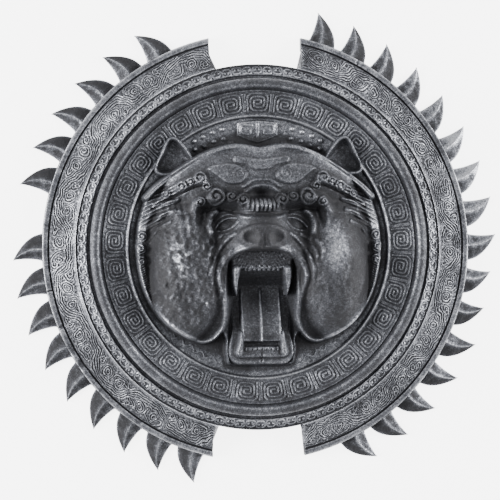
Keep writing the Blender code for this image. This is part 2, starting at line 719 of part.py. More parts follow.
def grip(home, cutters, slot):
    """An oval wooden grip, fuller in the middle, with a slot for the strap from end to end."""
    half = GRIP_LENGTH / 2
    middle = GRIP_LEVEL + GRIP_THICKNESS / 2
    circle = np.linspace(0, 2 * math.pi, 16, endpoint=False)
    rings = []
    for share in (-1.0, -0.965, -0.6, -0.25, 0.25, 0.6, 0.965, 1.0):
        full = 1 - 0.14 * share**2 - (0.10 if abs(share) == 1 else 0)
        y, z = full * GRIP_WIDTH / 2, full * GRIP_THICKNESS / 2
        rings.append([(share * half, GRIP_OFFSET + y * math.cos(a), middle + z * math.sin(a)) for a in circle])
    made = bmesh.new()
    add_loft(made, rings)
    obj = mesh_object("grip", made, home, slot)
    slot_cut = bmesh.new()
    bmesh.ops.create_cube(slot_cut, size=1.0)
    size = (GRIP_LENGTH + WALL, STRAP_WIDTH + 2 * CLEARANCE, STRAP_THICKNESS + 2 * CLEARANCE)
    bmesh.ops.scale(slot_cut, verts=slot_cut.verts, vec=size)
    bmesh.ops.translate(slot_cut, verts=slot_cut.verts, vec=(0, GRIP_OFFSET, (STRAP_LOW + STRAP_TOP) / 2))
    boolean(obj, helper(mesh_object("grip_slot", slot_cut, cutters)), "DIFFERENCE")
    return applied(obj)


def screw(name, side, home, slot):
    """A pan-head screw up through the strap into its pad."""
    head = STRAP_LOW - CLEARANCE
    profile = [
        (0.0, STRAP_TOP + CLEARANCE + SCREW_BITE),
        (SCREW_RADIUS, STRAP_TOP + CLEARANCE + SCREW_BITE),
        (SCREW_RADIUS, head),
        (SCREW_HEAD_RADIUS, head),
        (SCREW_HEAD_RADIUS, head - 0.5 * SCREW_HEAD_HEIGHT),
        (0.6 * SCREW_HEAD_RADIUS, head - SCREW_HEAD_HEIGHT),
        (0.0, head - SCREW_HEAD_HEIGHT),
    ]
    obj = turned(name, profile, 12, home, slot)
    obj.location = (side * PAD_X, GRIP_OFFSET, 0.0)
    return obj


def build():
    clear_scene()
    home = collection("bear_head_shield")
    cutters = collection("cutters")
    resin = material("shield_cast", (0.10, 0.10, 0.11), 0.42, 0.6)
    wood = material("grip_wood", (0.10, 0.05, 0.03), 0.6, 0.0)
    steel = material("strap_steel", (0.25, 0.25, 0.26), 0.4, 1.0)
    pieces = [
        shield(home, cutters, resin),
        grip(home, cutters, wood),
        strap(home, cutters, steel),
        screw("grip_screw_right", 1, home, steel),
        screw("grip_screw_left", -1, home, steel),
    ]
    for piece in pieces:
        piece.data.shade_smooth()
        piece.data.set_sharp_from_angle(angle=math.radians(35))


build()
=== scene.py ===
import math
import bpy
import numpy as np
from mathutils import Matrix, Vector


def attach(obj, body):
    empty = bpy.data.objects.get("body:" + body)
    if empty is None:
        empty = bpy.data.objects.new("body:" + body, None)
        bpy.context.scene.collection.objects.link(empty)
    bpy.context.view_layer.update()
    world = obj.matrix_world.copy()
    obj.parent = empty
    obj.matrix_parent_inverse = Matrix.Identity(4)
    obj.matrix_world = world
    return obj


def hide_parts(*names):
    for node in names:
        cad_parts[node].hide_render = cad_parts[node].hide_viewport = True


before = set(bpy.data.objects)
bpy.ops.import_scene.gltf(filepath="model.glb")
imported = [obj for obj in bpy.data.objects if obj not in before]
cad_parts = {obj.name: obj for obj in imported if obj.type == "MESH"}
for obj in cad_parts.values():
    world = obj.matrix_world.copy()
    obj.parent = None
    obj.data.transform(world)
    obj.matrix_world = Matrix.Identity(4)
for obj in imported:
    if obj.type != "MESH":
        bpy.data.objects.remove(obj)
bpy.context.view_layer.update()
print("frame loaded")

mm = 0.001
fullTurn = 2 * math.pi
backWorn = 0.42  # wear of the plain backs, on the scale from 0, dark paint, to 1, bare silver

# Small shaping functions, all on whole arrays

def rise(value, low, high):
    # smooth step from 0 at low to 1 at high
    share = np.clip((value - low) / (high - low), 0, 1)
    return share * share * (3 - 2 * share)

def fall(value, low, high):
    # smooth step from 1 at low to 0 at high
    return 1 - rise(value, low, high)

def band(value, start, full, last, end):
    # 1 from full to last, and 0 before start and past end
    return rise(value, start, full) * fall(value, last, end)

def hump(distance, width):
    # bell of height 1 that ends at +-width
    share = np.clip(np.abs(distance) / width, 0, 1)
    return (1 - share * share) ** 2

def ripple(turns):
    # wave from 0 to 1 with a crest at every whole turn
    return 0.5 + 0.5 * np.cos(fullTurn * turns)

def roundRidge(distance, width):
    # half circle of height 1 over +-width
    return np.sqrt(np.clip(1 - (distance / width) ** 2, 0, 1))

def dome(distance, power=0.5):
    # 1 in the middle and 0 at distance 1, flatter on top the lower the power
    return np.clip(1 - distance * distance, 0, 1) ** power

def softMax(first, second, width):
    # the higher of two surfaces with a fillet of that width
    share = np.clip(0.5 + 0.5 * (first - second) / width, 0, 1)
    return second + (first - second) * share + width * share * (1 - share)

def oval(x, y, middle, radii, turn=0.0):
    # distance from the middle of an oval, 1 on its edge
    angle = math.radians(turn)
    along = (x - middle[0]) * math.cos(angle) + (y - middle[1]) * math.sin(angle)
    across = (y - middle[1]) * math.cos(angle) - (x - middle[0]) * math.sin(angle)
    return np.hypot(along / radii[0], across / radii[1])

def spot(x, y, middle, radii, turn=0.0):
    # bell of height 1 over an oval
    return hump(oval(x, y, middle, radii, turn), 1)

def curve(points, perSpan=8):
    # Catmull-Rom line through the points
    given = np.array(points, float)
    ends = np.vstack([2 * given[0] - given[1], given, 2 * given[-1] - given[-2]])
    parts = []
    for a, b, c, d in zip(ends, ends[1:], ends[2:], ends[3:]):
        t = np.linspace(0, 1, perSpan, endpoint=False)[:, None]
        bend = (2 * a - 5 * b + 4 * c - d) * t**2 + (3 * b - a - 3 * c + d) * t**3
        parts.append(b + 0.5 * ((c - a) * t + bend))
    return np.vstack([*parts, given[-1:]])

def pathDistance(x, y, path):
    # distance to a polyline and the share of its length at the nearest point
    spans = np.diff(path, axis=0)
    lengths = np.hypot(spans[:, 0], spans[:, 1])
    done = np.concatenate([[0], np.cumsum(lengths)])
    nearest, place = np.full(x.shape, np.inf), np.zeros(x.shape)
    for start, span, length, before in zip(path, spans, lengths, done):
        if length == 0:
            continue
        share = np.clip(((x - start[0]) * span[0] + (y - start[1]) * span[1]) / length**2, 0, 1)
        away = np.hypot(x - start[0] - share * span[0], y - start[1] - share * span[1])
        closer = away < nearest
        nearest = np.where(closer, away, nearest)
        place = np.where(closer, (before + share * length) / done[-1], place)
    return nearest, place

def lineDistance(x, y, points, perSpan=8):
    # distance to the smooth line through the points
    return pathDistance(x, y, curve(points, perSpan))[0]

def inside(x, y, outline):
    # even-odd test against a closed outline
    found = np.zeros(x.shape, bool)
    for (x0, y0), (x1, y1) in zip(outline, np.roll(outline, -1, axis=0)):
        if y0 != y1:
            found ^= ((y0 > y) != (y1 > y)) & (x < x0 + (y - y0) * (x1 - x0) / (y1 - y0))
    return found

def depthInside(x, y, outline):
    # distance to a closed outline, above 0 inside it and below 0 outside
    away, _ = pathDistance(x, y, np.vstack([outline, outline[:1]]))
    return np.where(inside(x, y, outline), away, -away)

def bothSides(path):
    # a half outline that starts and ends on the middle line, closed by its mirror image
    return np.vstack([path, (np.asarray(path) * (-1, 1))[::-1]])

def blurred(heights, reach, wrap=False):
    # running mean over +-reach samples along both directions, twice
    count = 2 * reach + 1
    for axis in (0, 1, 0, 1):
        mode = "wrap" if wrap and axis == 0 else "edge"
        pad = [(reach + 1, reach) if axis == k else (0, 0) for k in (0, 1)]
        total = np.cumsum(np.pad(heights, pad, mode=mode), axis=axis)
        size = heights.shape[axis]
        upper = np.take(total, np.arange(count, count + size), axis=axis)
        lower = np.take(total, np.arange(size), axis=axis)
        heights = (upper - lower) / count
    return heights

def mottle(x, y, size, seed, z=0.0):
    # smooth lumps between about -1 and 1: a sum of nine slanting waves with fixed directions
    source = np.random.default_rng(seed)
    total = np.zeros(np.shape(x))
    for _ in range(9):
        way = source.normal(size=3)
        way *= source.uniform(0.6, 1.5) * fullTurn / size / np.linalg.norm(way)
        total = total + np.sin(way[0] * x + way[1] * y + way[2] * z + source.uniform(0, 6.28))
    return total / 4.5

def wornOf(heights, fine, wide, scale, wrap=True):
    # how far each point stands over the running means round it: 0 in grooves, 1 on crests
    near = heights - blurred(heights, fine, wrap)
    far = heights - blurred(heights, wide, wrap)
    return np.clip(0.5 + near / scale + 0.35 * far / scale, 0, 1)

# Mesh from whole arrays: points in mm, faces as arrays with 3 or 4 or more corners each

def makePiece(name, points, faces, wearAndPaintedLight, node="shield"):
    mesh = bpy.data.meshes.new(name)
    corners = np.concatenate([np.asarray(group, np.int32).ravel() for group in faces])
    sizes = np.concatenate([np.full(len(group), np.shape(group)[1], np.int32) for group in faces])
    starts = np.concatenate([[0], np.cumsum(sizes)[:-1]]).astype(np.int32)
    mesh.vertices.add(len(points))
    mesh.vertices.foreach_set("co", (np.asarray(points, np.float32) * mm).ravel())
    mesh.loops.add(len(corners))
    mesh.loops.foreach_set("vertex_index", corners)
    mesh.polygons.add(len(sizes))
    mesh.polygons.foreach_set("loop_start", starts)
    mesh.polygons.foreach_set("loop_total", sizes)
    mesh.update(calc_edges=True)
    mesh.validate()
    mesh.shade_smooth()
    # the mask holds wear, and also painted light and shade where those are laid into it
    mask = mesh.attributes.new("wearAndPaintedLight", "FLOAT", "POINT")
    mask.data.foreach_set("value", np.clip(wearAndPaintedLight, 0, 1).astype(np.float32).ravel())
    piece = bpy.data.objects.new(name, mesh)
    bpy.context.scene.collection.objects.link(piece)
    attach(piece, "root")
    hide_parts(node)
    print(name, len(mesh.loops) - 2 * len(mesh.polygons), "triangles")
    return piece

def sweptFaces(along, around, closed):
    # quads of a closed profile of `around` points carried over `along` places, with flat ends if it is open
    index = np.arange(along * around).reshape(along, around)
    following = np.roll(index, -1, axis=0) if closed else index[1:]
    here = index if closed else index[:-1]
    quads = np.stack([here, following, np.roll(following, -1, axis=1), np.roll(here, -1, axis=1)], axis=-1)
    faces = [quads.reshape(-1, 4)]
    if not closed:
        faces += [index[0][None, :], index[-1][None, ::-1]]
    return faces

# The rings, in mm. Heights are the solid's own profile with finer steps; carving is added to them.

rings = {
    # radius and height of the front, inside the bead and outside it
    "front": [(0, 24.2), (125.3, 24.2), (125.6, 25), (127.4, 31.4), (128.3, 31.2), (129.8, 30.2),
              (150.6, 35.6), (151.8, 36.8), (153, 35.6)],
    "outer": [(164.8, 28.8), (167, 28.8), (167.8, 31.6), (176.8, 27.4), (178, 28.6), (179.2, 25.6),
              (202.6, 12.4), (203.8, 9.4), (205, 12), (209.4, 12), (210.2, 10)],
    "beadCentre": (158.9, 36.5), "beadRadius": 5.1, "beadFrom": 168, "beadTo": -30, "beadPoints": 15,
    "edge": 210.2, "notchHalf": 45.5, "notchFillet": 6.0, "notchFloor": 178.0,
}

beadTurn = np.radians(np.linspace(rings["beadFrom"], rings["beadTo"], rings["beadPoints"]))
beadLine = rings["beadCentre"] + rings["beadRadius"] * np.column_stack([np.cos(beadTurn), np.sin(beadTurn)])
ringFront = np.vstack([rings["front"], beadLine, rings["outer"]])

def ringHeight(radius):
    return np.interp(radius, ringFront[:, 0], ringFront[:, 1])

def ringPlane(angles, radii):
    # x and y at every angle and radius
    return np.cos(angles)[:, None] * radii, np.sin(angles)[:, None] * radii

def radialSteps(low, high, step):
    # even steps plus every corner of the profile between low and high
    corners = ringFront[(ringFront[:, 0] > low) & (ringFront[:, 0] < high), 0]
    even = np.arange(low, high, step)
    even = even[np.min(np.abs(even[:, None] - corners[None, :]), axis=1) > 0.35 * step]
    return np.unique(np.concatenate([[low], even, corners, [high]]))

def ringPiece(name, radii, angles, carving, back, wearAndPaintedLight, ends=None):
    # Front: (r cos a, r sin a, profile(r) + carving(r, a)). Back: the same angles over a few radii.
    # ends gives the first and last angle of an open piece at each radius, so that its ends are flat.
    back = np.array(back)
    allRadii = np.concatenate([radii, back[:, 0]])
    if ends is None:
        turn = np.repeat(angles[:, None], len(allRadii), axis=1)
    else:
        share = (angles - angles[0]) / (angles[-1] - angles[0])
        first, last = ends(allRadii)
        turn = first[None, :] + share[:, None] * (last - first)[None, :]
    front = ringHeight(radii)[None, :] + carving
    height = np.concatenate([front, np.repeat(back[None, :, 1], len(angles), axis=0)], axis=1)
    points = np.stack([allRadii * np.cos(turn), allRadii * np.sin(turn), height], axis=-1)
    mask = np.full(height.shape, backWorn)
    mask[:, :len(radii)] = wearAndPaintedLight
    faces = [group[:, ::-1] for group in sweptFaces(len(angles), len(allRadii), ends is None)]
    return makePiece(name, points.reshape(-1, 3), faces, mask)

# Wide band with square and rounded spirals in turn

keys = {
    "count": 33, "perCell": 48, "step": 0.55, "radii": (124.6, 153.0), "borders": (129.0, 130.2, 149.4, 150.6),
    "inner": 129.8, "width": 20.8, "halfLong": 10.2, "halfHigh": 8.8, "pitch": 3.2, "rise": 0.95, "ridge": 0.85,
    "bar": 12.6, "barEnds": (8.6, 9.6), "groove": 0.45, "grooveAt": 1.75, "grooveWidth": 0.8,
    "lumps": (34, 3), "wear": (2, 7, 4.6),
    "back": [(153.0, 27.0), (140, 26.0), (129.8, 23.9), (124.6, 22.0)],
}
lumpRise = 0.16  # waviness of the cast rings, in mm

def spiralPath(rounded):
    # square spiral that starts at the outer low corner and turns inwards by the pitch; each pass cuts its corners
    long, high, pitch = keys["halfLong"], keys["halfHigh"], keys["pitch"]
    points = [(-long, -high), (-long, high)]
    left, right, top, low = -long, long - 0.5, high, -high + 1.1
    while right - left > pitch and top - low > pitch:
        points += [(right, top), (right, low)]
        left += pitch
        points += [(left, low)]
        top -= pitch
        points += [(left, top)]
        right -= pitch
        low += pitch
    path, corner = np.array(points[:-1], float), 0.18
    for _ in range(4 if rounded else 2):
        cut = np.empty((2 * len(path) - 2, 2))
        cut[0::2] = (1 - corner) * path[:-1] + corner * path[1:]
        cut[1::2] = corner * path[:-1] + (1 - corner) * path[1:]
        path = np.vstack([path[:1], cut, path[-1:]])
    return path

def keyCarving(radii):
    # each cell: a round ridge along its spiral and its two upright bars, with a groove beside the ridge
    along = (np.arange(keys["perCell"]) / keys["perCell"] - 0.5) * fullTurn / keys["count"]
    middle = keys["inner"] + keys["width"] / 2
    x, y = np.meshgrid(-along * middle, radii - middle, indexing="ij")
    bars = np.maximum(np.abs(np.abs(x) - keys["bar"]), 3 * rise(np.abs(y), *keys["barEnds"]))
    cells = []
    for rounded in (False, True):
        away = np.minimum(pathDistance(x, y, spiralPath(rounded))[0], bars)
        groove = keys["groove"] * hump(away - keys["grooveAt"], keys["grooveWidth"])
        cells.append(keys["rise"] * roundRidge(away, keys["ridge"]) ** 0.8 - groove)
    order = [cells[(k * 3 // 2 + k) % 2] for k in range(keys["count"])]
    return np.concatenate(order, axis=0) * band(radii, *keys["borders"])[None, :]

def buildKeyBand():
    radii = radialSteps(*keys["radii"], keys["step"])
    count = keys["count"] * keys["perCell"]
    angles = math.pi / 2 + (np.arange(count) / keys["perCell"] - 0.5) * fullTurn / keys["count"]
    carving = keyCarving(radii) + lumpRise * mottle(*ringPlane(angles, radii), *keys["lumps"])
    wearAndPaintedLight = wornOf(ringHeight(radii)[None, :] + carving, *keys["wear"])
    # painted shade: darker at the top and the bottom
    wearAndPaintedLight = wearAndPaintedLight - 0.02 - 0.08 * rise(np.abs(np.sin(angles)), 0.80, 0.99)[:, None]
    return ringPiece("keyBand", radii, angles, carving, keys["back"], wearAndPaintedLight)

# Bead, groove and narrow band of small hooks

fret = {
    "inner": 167.9, "outer": 176.7, "count": 108, "perUnit": 15, "rise": 0.95, "ridge": 0.78, "step": 0.56, "seed": 4,
    "radii": (152.4, 178.0), "borders": (167.9, 168.3, 176.2, 176.6), "lumps": (30, 5), "wear": (2, 8, 2.3),
    "under": 152.95, "sink": 1.2, "back": [(178.0, 18.8), (163.9, 21.6), (152.4, 27.8)],
    "curl": [(-3.3, 3.4), (-1.1, 2.5), (-1.2, 0.5), (-2.9, 0.2), (-3.5, 1.5)],
}

def hookCarving(radii):
    # a wave that runs on from unit to unit, each the last one's mirror image, with a curl in every hollow of it
    middle = (fret["inner"] + fret["outer"]) / 2
    pitch = fullTurn * middle / fret["count"]
    along = (np.arange(fret["perUnit"]) / fret["perUnit"] - 0.5) * pitch
    x, y = np.meshgrid(-along, radii - middle, indexing="ij")
    wave = [(-0.5 * pitch, -3.0), (-2.4, -2.6), (0, 0), (2.4, 2.6), (0.5 * pitch, 3.0)]
    curl = np.array([(-0.5 * pitch, 3.0), *fret["curl"]])
    source = np.random.default_rng(fret["seed"])
    units = []
    for index in range(fret["count"]):
        flipped = y if index % 2 == 0 else -y
        grow = source.uniform(0.85, 1.2, 2)
        away = lineDistance(x, flipped, wave, 4)
        for turn, size in ((1, grow[0]), (-1, grow[1])):
            away = np.minimum(away, lineDistance(x, flipped, curl * turn * (1, size), 3))
        units.append(fret["rise"] * roundRidge(away, fret["ridge"]) ** 0.7)
    return np.concatenate(units, axis=0)

def buildBeadRing():
    # its inner border dips under the wide band
    radii = radialSteps(*fret["radii"], fret["step"])
    angles = np.arange(fret["count"] * fret["perUnit"]) / fret["perUnit"] * fullTurn / fret["count"]
    carving = hookCarving(radii) * band(radii, *fret["borders"])[None, :]
    carving = carving - fret["sink"] * (radii < fret["under"])[None, :]
    carving = carving + lumpRise * mottle(*ringPlane(angles, radii), *fret["lumps"])
    wearAndPaintedLight = wornOf(ringHeight(radii)[None, :] + carving, *fret["wear"])
    # a little brighter overall, with painted shade darkening the top
    wearAndPaintedLight = wearAndPaintedLight + 0.03 - 0.08 * rise(np.sin(angles), 0.80, 0.99)[:, None]
    # the bead is dark with a rubbed line inside its crest, and the groove beside it is lightened as painted light
    # against the shade in it
    onBead = band(radii, 152.6, 154.0, 164.0, 165.4)
    wearAndPaintedLight = wearAndPaintedLight + (0.26 + 0.35 * hump(radii - 156.4, 2.2) - wearAndPaintedLight) * 0.8 * onBead[None, :]
    wearAndPaintedLight = np.maximum(wearAndPaintedLight, 0.34 * hump(radii - 165.9, 3.0)[None, :])
    return ringPiece("beadRing", radii, angles, carving, fret["back"], wearAndPaintedLight)

# Engraved rim. Bundles of lines at an even pitch snake between the borders and loop round eyes of rings.

swirl = {
    "inner": 180.6, "outer": 202.4, "repeats": 26, "pitch": 2.1, "depth": 0.85, "bundle": 4.6, "tendril": 2.2,
    "step": 0.5, "arcStep": 0.56, "jitter": 1.8, "seed": 17, "wander": 1.1, "wanderSize": 12.0,
    # guide lines of one repeat: share of its length, share of half the width, and mm added to that
    "lines": [[(-0.5, 1, -3.0), (-0.32, 1, -3.6), (-0.13, 0.40, 0), (0.02, -0.30, 0), (0.22, -1, 4.0), (0.5, -1, 3.0)],
              [(-0.22, 1, -3.4), (0.02, 1, -1.6), (0.16, 1, -4.2), (0.15, 1, -8.0), (0.06, 1, -8.4), (0.07, 1, -5.6)],
              [(-0.47, 0.10, 0), (-0.44, -0.56, 0), (-0.27, -0.84, 0), (-0.11, -0.66, 0), (-0.13, -0.34, 0),
               (-0.22, -0.36, 0)]],
    # eyes: the same shares and the radius in mm
    "eyes": [(0.35, 0.16, 6.6), (-0.30, -0.20, 4.5), (0.09, 0.62, 2.6)],
}
rim = {
    "radii": (177.4, 210.2), "gridRadius": 196, "notchRadius": 205, "lumps": (40, 7), "lumpRise": 0.22,
    "under": 177.9, "sink": 1.1, "wear": (2, 9, 1.9), "back": [(210.2, 0.0), (198.2, 0.0), (196.8, 5.6), (177.4, 19.5)],
    # chips and breaks of the lip: middle angle in degrees, half width in mm, depth in mm
    "chips": [(191.3, 1.0, 1.6), (201.5, 3.2, 1.5), (208.5, 9.0, 1.2), (213.0, 7.0, 1.7), (222.0, 5.0, 0.9),
              (235.0, 6.0, 0.8), (60.5, 3.0, 1.0), (173.5, 2.4, 0.6)],
    "roughSeed": 11,
}

def swirlCell(local, y, half, length, source):
    # height of one repeat: its guide lines and eyes are moved a little by the draws of source
    def moved(line):
        points = np.array([(share * length, part * half + more) for share, part, more in line])
        shift = source.uniform(-swirl["jitter"], swirl["jitter"], (len(points), 2)) * (1, 0.5)
        shift[[0, -1]] = 0
        return curve(points + shift, 5)
    def engrave(height, away, reach):
        # rounded lines at the pitch take the place of what is there, within reach
        hold = fall(away, reach - 0.4, reach + 0.3)
        return height * (1 - hold) + (ripple(away / swirl["pitch"]) ** 0.8 * 1.6 - 0.7) * hold
    snake, *tendrils = [moved(line) for line in swirl["lines"]]
    height = 0.45 * mottle(local, y, 3.4, int(source.integers(1, 999)))
    height = height + 0.35 * mottle(local, y, 2.0, int(source.integers(1, 999)))
    for line in tendrils:
        height = engrave(height, pathDistance(local, y, line)[0], swirl["tendril"])
    height = engrave(height, pathDistance(local, y, snake)[0], swirl["bundle"])
    for share, part, size in swirl["eyes"]:
        away = np.hypot(local - share * length - source.uniform(-1, 1), y - part * half)
        height = engrave(height, away, size)
    return height

def swirlCarving(angles, radii):
    # repeats stand in turn upright and upside down, so that the snake runs on from one to the next
    inner, outer = swirl["inner"], swirl["outer"]
    middle, half = (inner + outer) / 2, (outer - inner) / 2
    length = fullTurn * middle / swirl["repeats"]
    arc = angles * middle
    cell = np.floor(arc / length).astype(int)
    height = np.zeros((len(angles), len(radii)))
    for index in np.unique(cell):
        rows = cell == index
        upright = 1 if index % 2 == 0 else -1
        local, y = np.meshgrid(arc[rows] - (index + 0.5) * length, (radii - middle) * upright, indexing="ij")
        wander = [swirl["wander"] * mottle(arc[rows][:, None], radii[None, :], swirl["wanderSize"], seed)
                  for seed in (71, 72)]
        source = np.random.default_rng(swirl["seed"] + int(index))
        height[rows] = swirlCell(local + wander[0], y + wander[1], half, length, source)
    within = band(radii, inner - 0.2, inner + 0.6, outer - 0.7, outer - 0.1)
    return (height + 0.16 * mottle(arc[:, None], radii[None, :], 5.0, 18)) * swirl["depth"] * within[None, :]

def notchEnd(radius):
    # how far the rim reaches towards the notch's middle, in mm: the straight side, then the fillet at the floor
    half, fillet = rings["notchHalf"], rings["notchFillet"]
    over = np.clip(rings["notchFloor"] + fillet - radius, 0, fillet)
    return half - fillet + np.sqrt(fillet**2 - over**2)

def lipWear(angles, radii):
    # the lip is lower by each chip's depth inside a bell of its width, and rough all along
    arc = angles * rings["edge"]
    wear = np.zeros_like(arc)
    for degrees, width, depth in rim["chips"]:
        gap = (angles - math.radians(degrees) + math.pi) % fullTurn - math.pi
        wear = np.maximum(wear, depth * hump(gap * rings["edge"], width))
    rough = 0.10 * mottle(arc, 0.0, 7, rim["roughSeed"])
    return -(wear + rough)[:, None] * rise(radii, 203.6, 205.0)[None, :]

def buildRim(name, side):
    radii = radialSteps(*rim["radii"], swirl["step"])
    start = math.asin(rings["notchHalf"] / rim["notchRadius"])
    span = math.pi - 2 * start
    base = -math.pi / 2 if side > 0 else math.pi / 2
    share = np.linspace(0, 1, int(span * rim["gridRadius"] / swirl["arcStep"]))
    angles = base + start + share * span
    def ends(radius):
        lean = np.arcsin(notchEnd(radius) / radius)
        return base + lean, base + math.pi - lean
    carving = swirlCarving(angles % fullTurn, radii) + lipWear(angles % fullTurn, radii)
    x, y = ringPlane(angles, radii)
    carving = carving + rim["lumpRise"] * mottle(x, y, *rim["lumps"]) * (radii < 209)[None, :]
    carving = carving - rim["sink"] * (radii < rim["under"])[None, :]
    wearAndPaintedLight = wornOf(ringHeight(radii)[None, :] + carving, *rim["wear"], wrap=False)
    # the inner border and the lip are rubbed a little more, and broad patches differ
    wearAndPaintedLight = wearAndPaintedLight + (0.26 * hump(radii - 178.9, 2.6) + 0.08 * rise(radii, 204.6, 206))[None, :]
    wearAndPaintedLight = wearAndPaintedLight - 0.06 + 0.10 * mottle(x, y, 38, 73) + 0.07 * mottle(x, y, 15, 74)
    return ringPiece(name, radii, angles, carving, rim["back"], wearAndPaintedLight, ends)

# Claws: a row of curved blades behind the lip, the same size but for a few that are worn blunt and one lost

claws = {
    "positions": 40, "firstTip": 74.5, "length": 29.0, "width": 27.2, "level": 2.5, "side": 3.3, "ridge": 9.6,
    "tip": 4.3, "root": 3.2, "hollow": 1.6, "fullness": 2.1, "tipWidth": 1.3, "flare": 1.8, "flareEnd": 0.22,
    "lost": 11, "blunt": {31: 0.86, 30: 0.86, 12: 0.97, 22: 0.96}, "notchMargin": 6.0, "lumps": 0.40,
    "sections": 20, "crest": 0.575,
    "across": [0.0, 0.03, 0.12, 0.24, 0.36, 0.46, 0.53, 0.575, 0.62, 0.72, 0.84, 0.94, 0.98, 1.0],
    "paintedLight": 0.80, "paintedLightAt": 22, "paintedLightReach": 46, "underWorn": 0.3,
}

def clawAngles():
    # tips at even angles, without the lost one and those whose roots would reach into a notch
    halfWidth = claws["width"] / 2 / rings["edge"]
    clear = math.asin((rings["notchHalf"] + claws["notchMargin"]) / rings["edge"]) + halfWidth
    for index in range(claws["positions"]):
        angle = math.radians(claws["firstTip"]) + index * fullTurn / claws["positions"]
        base = angle - 0.4 * claws["width"] / rings["edge"]
        if abs(math.cos(base)) >= math.sin(clear) and index != claws["lost"]:
            yield index, angle

def clawSurface(index, tipAngle):
    # (share along, place across) -> a blade between a trailing edge that bulges and a hollow leading edge,
    # its top two facets that meet in a ridge from root to tip and its back flat
    size = claws["length"] * claws["blunt"].get(index, 1.0)
    share = np.linspace(0, 1, claws["sections"])[:, None]
    across = np.array(claws["across"])[None, :]
    radius = rings["edge"] - claws["root"] + (claws["root"] + size) * share
    turn = claws["width"] / rings["edge"]
    trailing, leading = tipAngle - 0.90 * turn, tipAngle + 0.10 * turn
    flare = claws["flare"] / rings["edge"] * np.clip(1 - share / claws["flareEnd"], 0, 1) ** 2
    start = trailing + (tipAngle - trailing) * share ** claws["fullness"] - flare
    end = leading + (tipAngle - leading) * share - claws["hollow"] / radius * np.sin(share * math.pi) + flare
    end = np.maximum(end, start + claws["tipWidth"] * (1 - 0.55 * share) / radius)
    angle = start + across * (end - start)
    x, y = radius * np.cos(angle), radius * np.sin(angle)
    crest = claws["crest"]
    slope = np.where(across < crest, across / crest, (1 - across) / (1 - crest))
    wobble = claws["lumps"] * mottle(x, y, 9, 20 + index) * np.sin(math.pi * np.clip(slope, 0, 1)) * (share < 0.98)
    ridge = claws["ridge"] + (claws["tip"] - claws["ridge"]) * share
    top = claws["side"] + (ridge - claws["side"]) * slope ** 0.9 + wobble
    upper = np.stack([x, y, top], axis=-1)
    lower = np.stack([x, y, np.full(x.shape, claws["level"])], axis=-1)[:, 10:2:-3]
    # rubbed edges and painted highlights along the edges and the ridge; painted light makes the leading facet paler and
    # painted shade the trailing side darker
    edge = np.exp(-np.minimum(across, 1 - across) / 0.05) + 0.9 * np.exp(-np.abs(across - crest) / 0.06)
    shade = 0.14 * (across > crest) - 0.10 * (across < 0.45)
    # painted light: the blades on the right are painted pale towards their tips, as if lit from the right
    degrees = (math.degrees(tipAngle) + 180) % 360 - 180
    shade = shade + claws["paintedLight"] * hump(degrees - claws["paintedLightAt"], claws["paintedLightReach"]) * (0.35 + 0.65 * share)
    mask = np.clip(0.15 + 0.85 * edge + shade + 0.12 * share**2 + 0.6 * wobble, 0, 1)
    under = np.full(lower.shape[:2], claws["underWorn"])
    return np.concatenate([upper, lower], axis=1), np.concatenate([mask, under], axis=1)

def buildClaws(name, side):
    points, masks, quads, caps, base = [], [], [], [], 0
    for index, angle in clawAngles():
        if math.cos(angle) * side < 0:
            continue
        ring, mask = clawSurface(index, angle)
        along, around = ring.shape[:2]
        sides, *ends = sweptFaces(along, around, False)
        quads.append(sides + base)
        caps += [end + base for end in ends]
        points.append(ring.reshape(-1, 3))
        masks.append(mask.ravel())
        base += along * around
    groups = [np.concatenate(quads), np.concatenate(caps)]
    return makePiece(name, np.concatenate(points), groups, np.concatenate(masks))

# Head, in mm from the middle of the floor. Heights stand over the floor and are scaled as the solid's are.
# It is drawn as its right half, so most functions take side, the distance from the middle line, for x.

